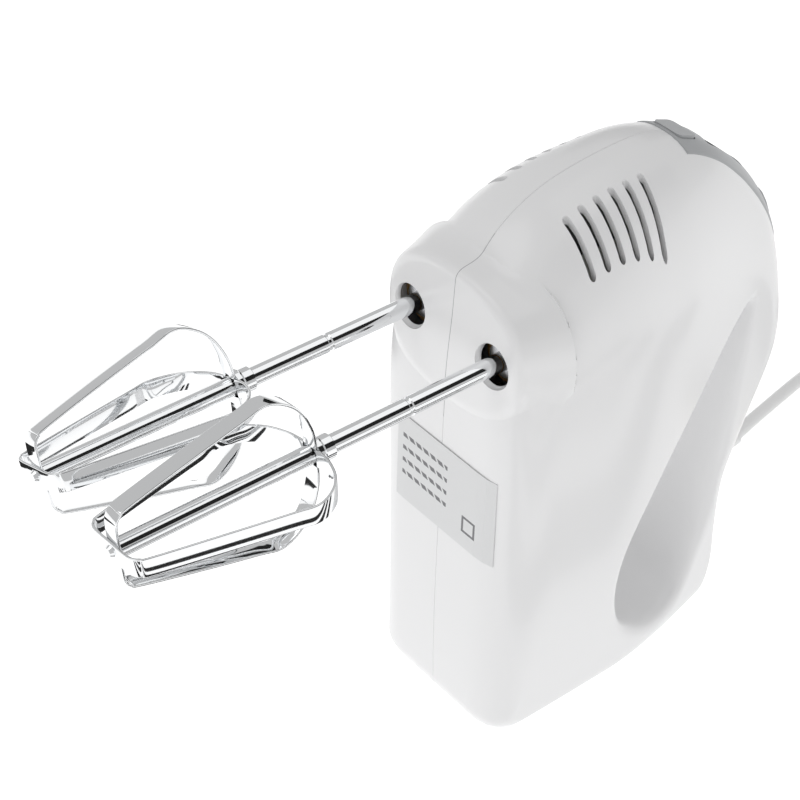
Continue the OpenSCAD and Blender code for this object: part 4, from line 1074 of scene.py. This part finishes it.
class Studio:
    """Camera, floor, soft lights and the dark cards that the chrome mirrors."""

    def camera(self, sizes: CameraSizes) -> bpy.types.Object:
        """Perspective camera with no depth of field, looking back along its azimuth and elevation."""
        a, e = math.radians(sizes.azimuth), math.radians(sizes.elevation)
        back = Vector((math.cos(e) * math.sin(a), -math.cos(e) * math.cos(a), math.sin(e)))
        right = Vector((math.cos(a), math.sin(a), 0))
        data = bpy.data.cameras.new("camera")
        data.lens, data.sensor_width, data.clip_start, data.clip_end = sizes.lens, sizes.sensor, 0.01, 20.0
        obj = bpy.data.objects.new("camera", data)
        turn = Matrix((right, back.cross(right), back)).transposed().to_4x4()
        obj.matrix_world = Matrix.Translation(sizes.place) @ turn
        bpy.context.scene.collection.objects.link(obj)
        bpy.context.scene.camera = obj
        return obj

    def floor(self) -> bpy.types.Object:
        """Large plain pale floor just under the heel."""
        t = np.linspace(-1, 1, 3) * 9000.0
        x, y = np.meshgrid(t, t, indexing="ij")
        p = np.stack([x, y, np.full_like(x, -0.05)], -1).reshape(-1, 3)
        obj = link_mesh("floor", p, grid_quads(3, 3, False, False).tolist())
        if obj.data.polygons[0].normal.z < 0:
            obj.data.flip_normals()
        material = bpy.data.materials.new("floor")
        material.use_nodes = True
        shader = material.node_tree.nodes["Principled BSDF"]
        shader.inputs["Base Color"].default_value = (0.93, 0.93, 0.93, 1)
        shader.inputs["Roughness"].default_value = 0.9
        shader.inputs["Specular IOR Level"].default_value = 0.1
        shader.inputs["Emission Color"].default_value = (1, 1, 1, 1)
        shader.inputs["Emission Strength"].default_value = 0.56
        obj.data.materials.append(material)
        return obj

    def light(self, name: str, place: Sequence[float], aim: Sequence[float], size: tuple[float, float],
              watts: float) -> bpy.types.Object:
        """Rectangular soft light at a place, aimed at a point."""
        data = bpy.data.lights.new(name, "AREA")
        data.shape, data.size, data.size_y, data.energy = "RECTANGLE", size[0], size[1], watts
        obj = bpy.data.objects.new(name, data)
        obj.location = place
        obj.rotation_euler = (Vector(aim) - Vector(place)).to_track_quat("-Z", "Y").to_euler()
        bpy.context.scene.collection.objects.link(obj)
        return obj

    def card(self, name: str, corners: Sequence[Sequence[float]], shade_level: float) -> bpy.types.Object:
        """Flat card seen only in reflections."""
        obj = link_mesh(name, np.array(corners, float) * 1000, [[0, 1, 2, 3]])
        material = bpy.data.materials.new(name)
        material.use_nodes = True
        shader = material.node_tree.nodes["Principled BSDF"]
        shader.inputs["Base Color"].default_value = (shade_level, shade_level, shade_level, 1)
        shader.inputs["Roughness"].default_value = 1.0
        obj.data.materials.append(material)
        obj.visible_camera = obj.visible_shadow = obj.visible_diffuse = False
        return obj

    def build(self) -> None:
        """Puts up the whole studio."""
        self.camera(CameraSizes())
        self.floor()
        self.light("key", (-0.5, -0.9, 1.3), (0.0, 0.0, 0.1), (0.9, 0.9), 2.6)
        self.light("top", (0.0, 0.35, 1.5), (0.0, 0.0, 0.1), (1.3, 0.8), 1.6)
        self.card("card_streak",
                  ((0.38, -0.5, 0.98), (0.38, 1.2, 0.98), (0.78, 1.2, 0.52), (0.78, -0.5, 0.52)), 0.004)
        self.card("card_back",
                  ((-0.80, 0.55, 0.30), (-0.45, 0.80, 0.30), (-0.40, 0.70, 0.62), (-0.75, 0.45, 0.62)), 0.004)
        stripes = (
            ("near", 0.080, 0.118), ("middle", 0.150, 0.200), ("far", 0.235, 0.30), ("left", -0.30, -0.21))
        for name, low, high in stripes:
            self.card(f"card_{name}", ((low, -0.55, 0.006), (high, -0.55, 0.006), (high, 0.25, 0.006),
                                       (low, 0.25, 0.006)), 0.02)
        world = bpy.data.worlds.new("studio")
        world.use_nodes = True
        world.node_tree.nodes["Background"].inputs["Color"].default_value = (1, 1, 1, 1)
        world.node_tree.nodes["Background"].inputs["Strength"].default_value = 0.56
        bpy.context.scene.world = world
        bpy.context.scene.view_settings.view_transform = "Standard"


# ---- Assembly --------------------------------------------------------------------------------------------


class Mixer:
    """The whole hand mixer: new pieces, and materials on the carried ones."""

    def __init__(self) -> None:
        self.shaders = Shaders()
        self.law = HousingLaw(HousingSizes())

    def dress_frame(self) -> None:
        """Gives each carried node the finish of its own slot, and the rating label its marked film."""
        slots = {s["node"]: s["material_slot"] for s in frame["record"]["subparts"]}
        label = self.shaders.label()
        for name, obj in frame["nodes"].items():
            material = label if name == "rating_label" else self.shaders.get(slots[name])
            obj.data.materials.clear()
            obj.data.materials.append(material)

    def build(self) -> None:
        """Builds every piece."""
        Lead(LeadSizes(), self.shaders).build()
        Housing(self.law, self.shaders).build()
        for side in Side:
            Beater(side, BeaterSizes(), self.shaders).build()
        for sizes in SPRINGS:
            Spring(sizes, self.shaders).build()
        self.dress_frame()


def main() -> None:
    """Builds the studio and the mixer."""
    logging.basicConfig(level=logging.INFO, format="%(name)s: %(message)s")
    Studio().build()
    Mixer().build()


if __name__ == "__main__":
    main()
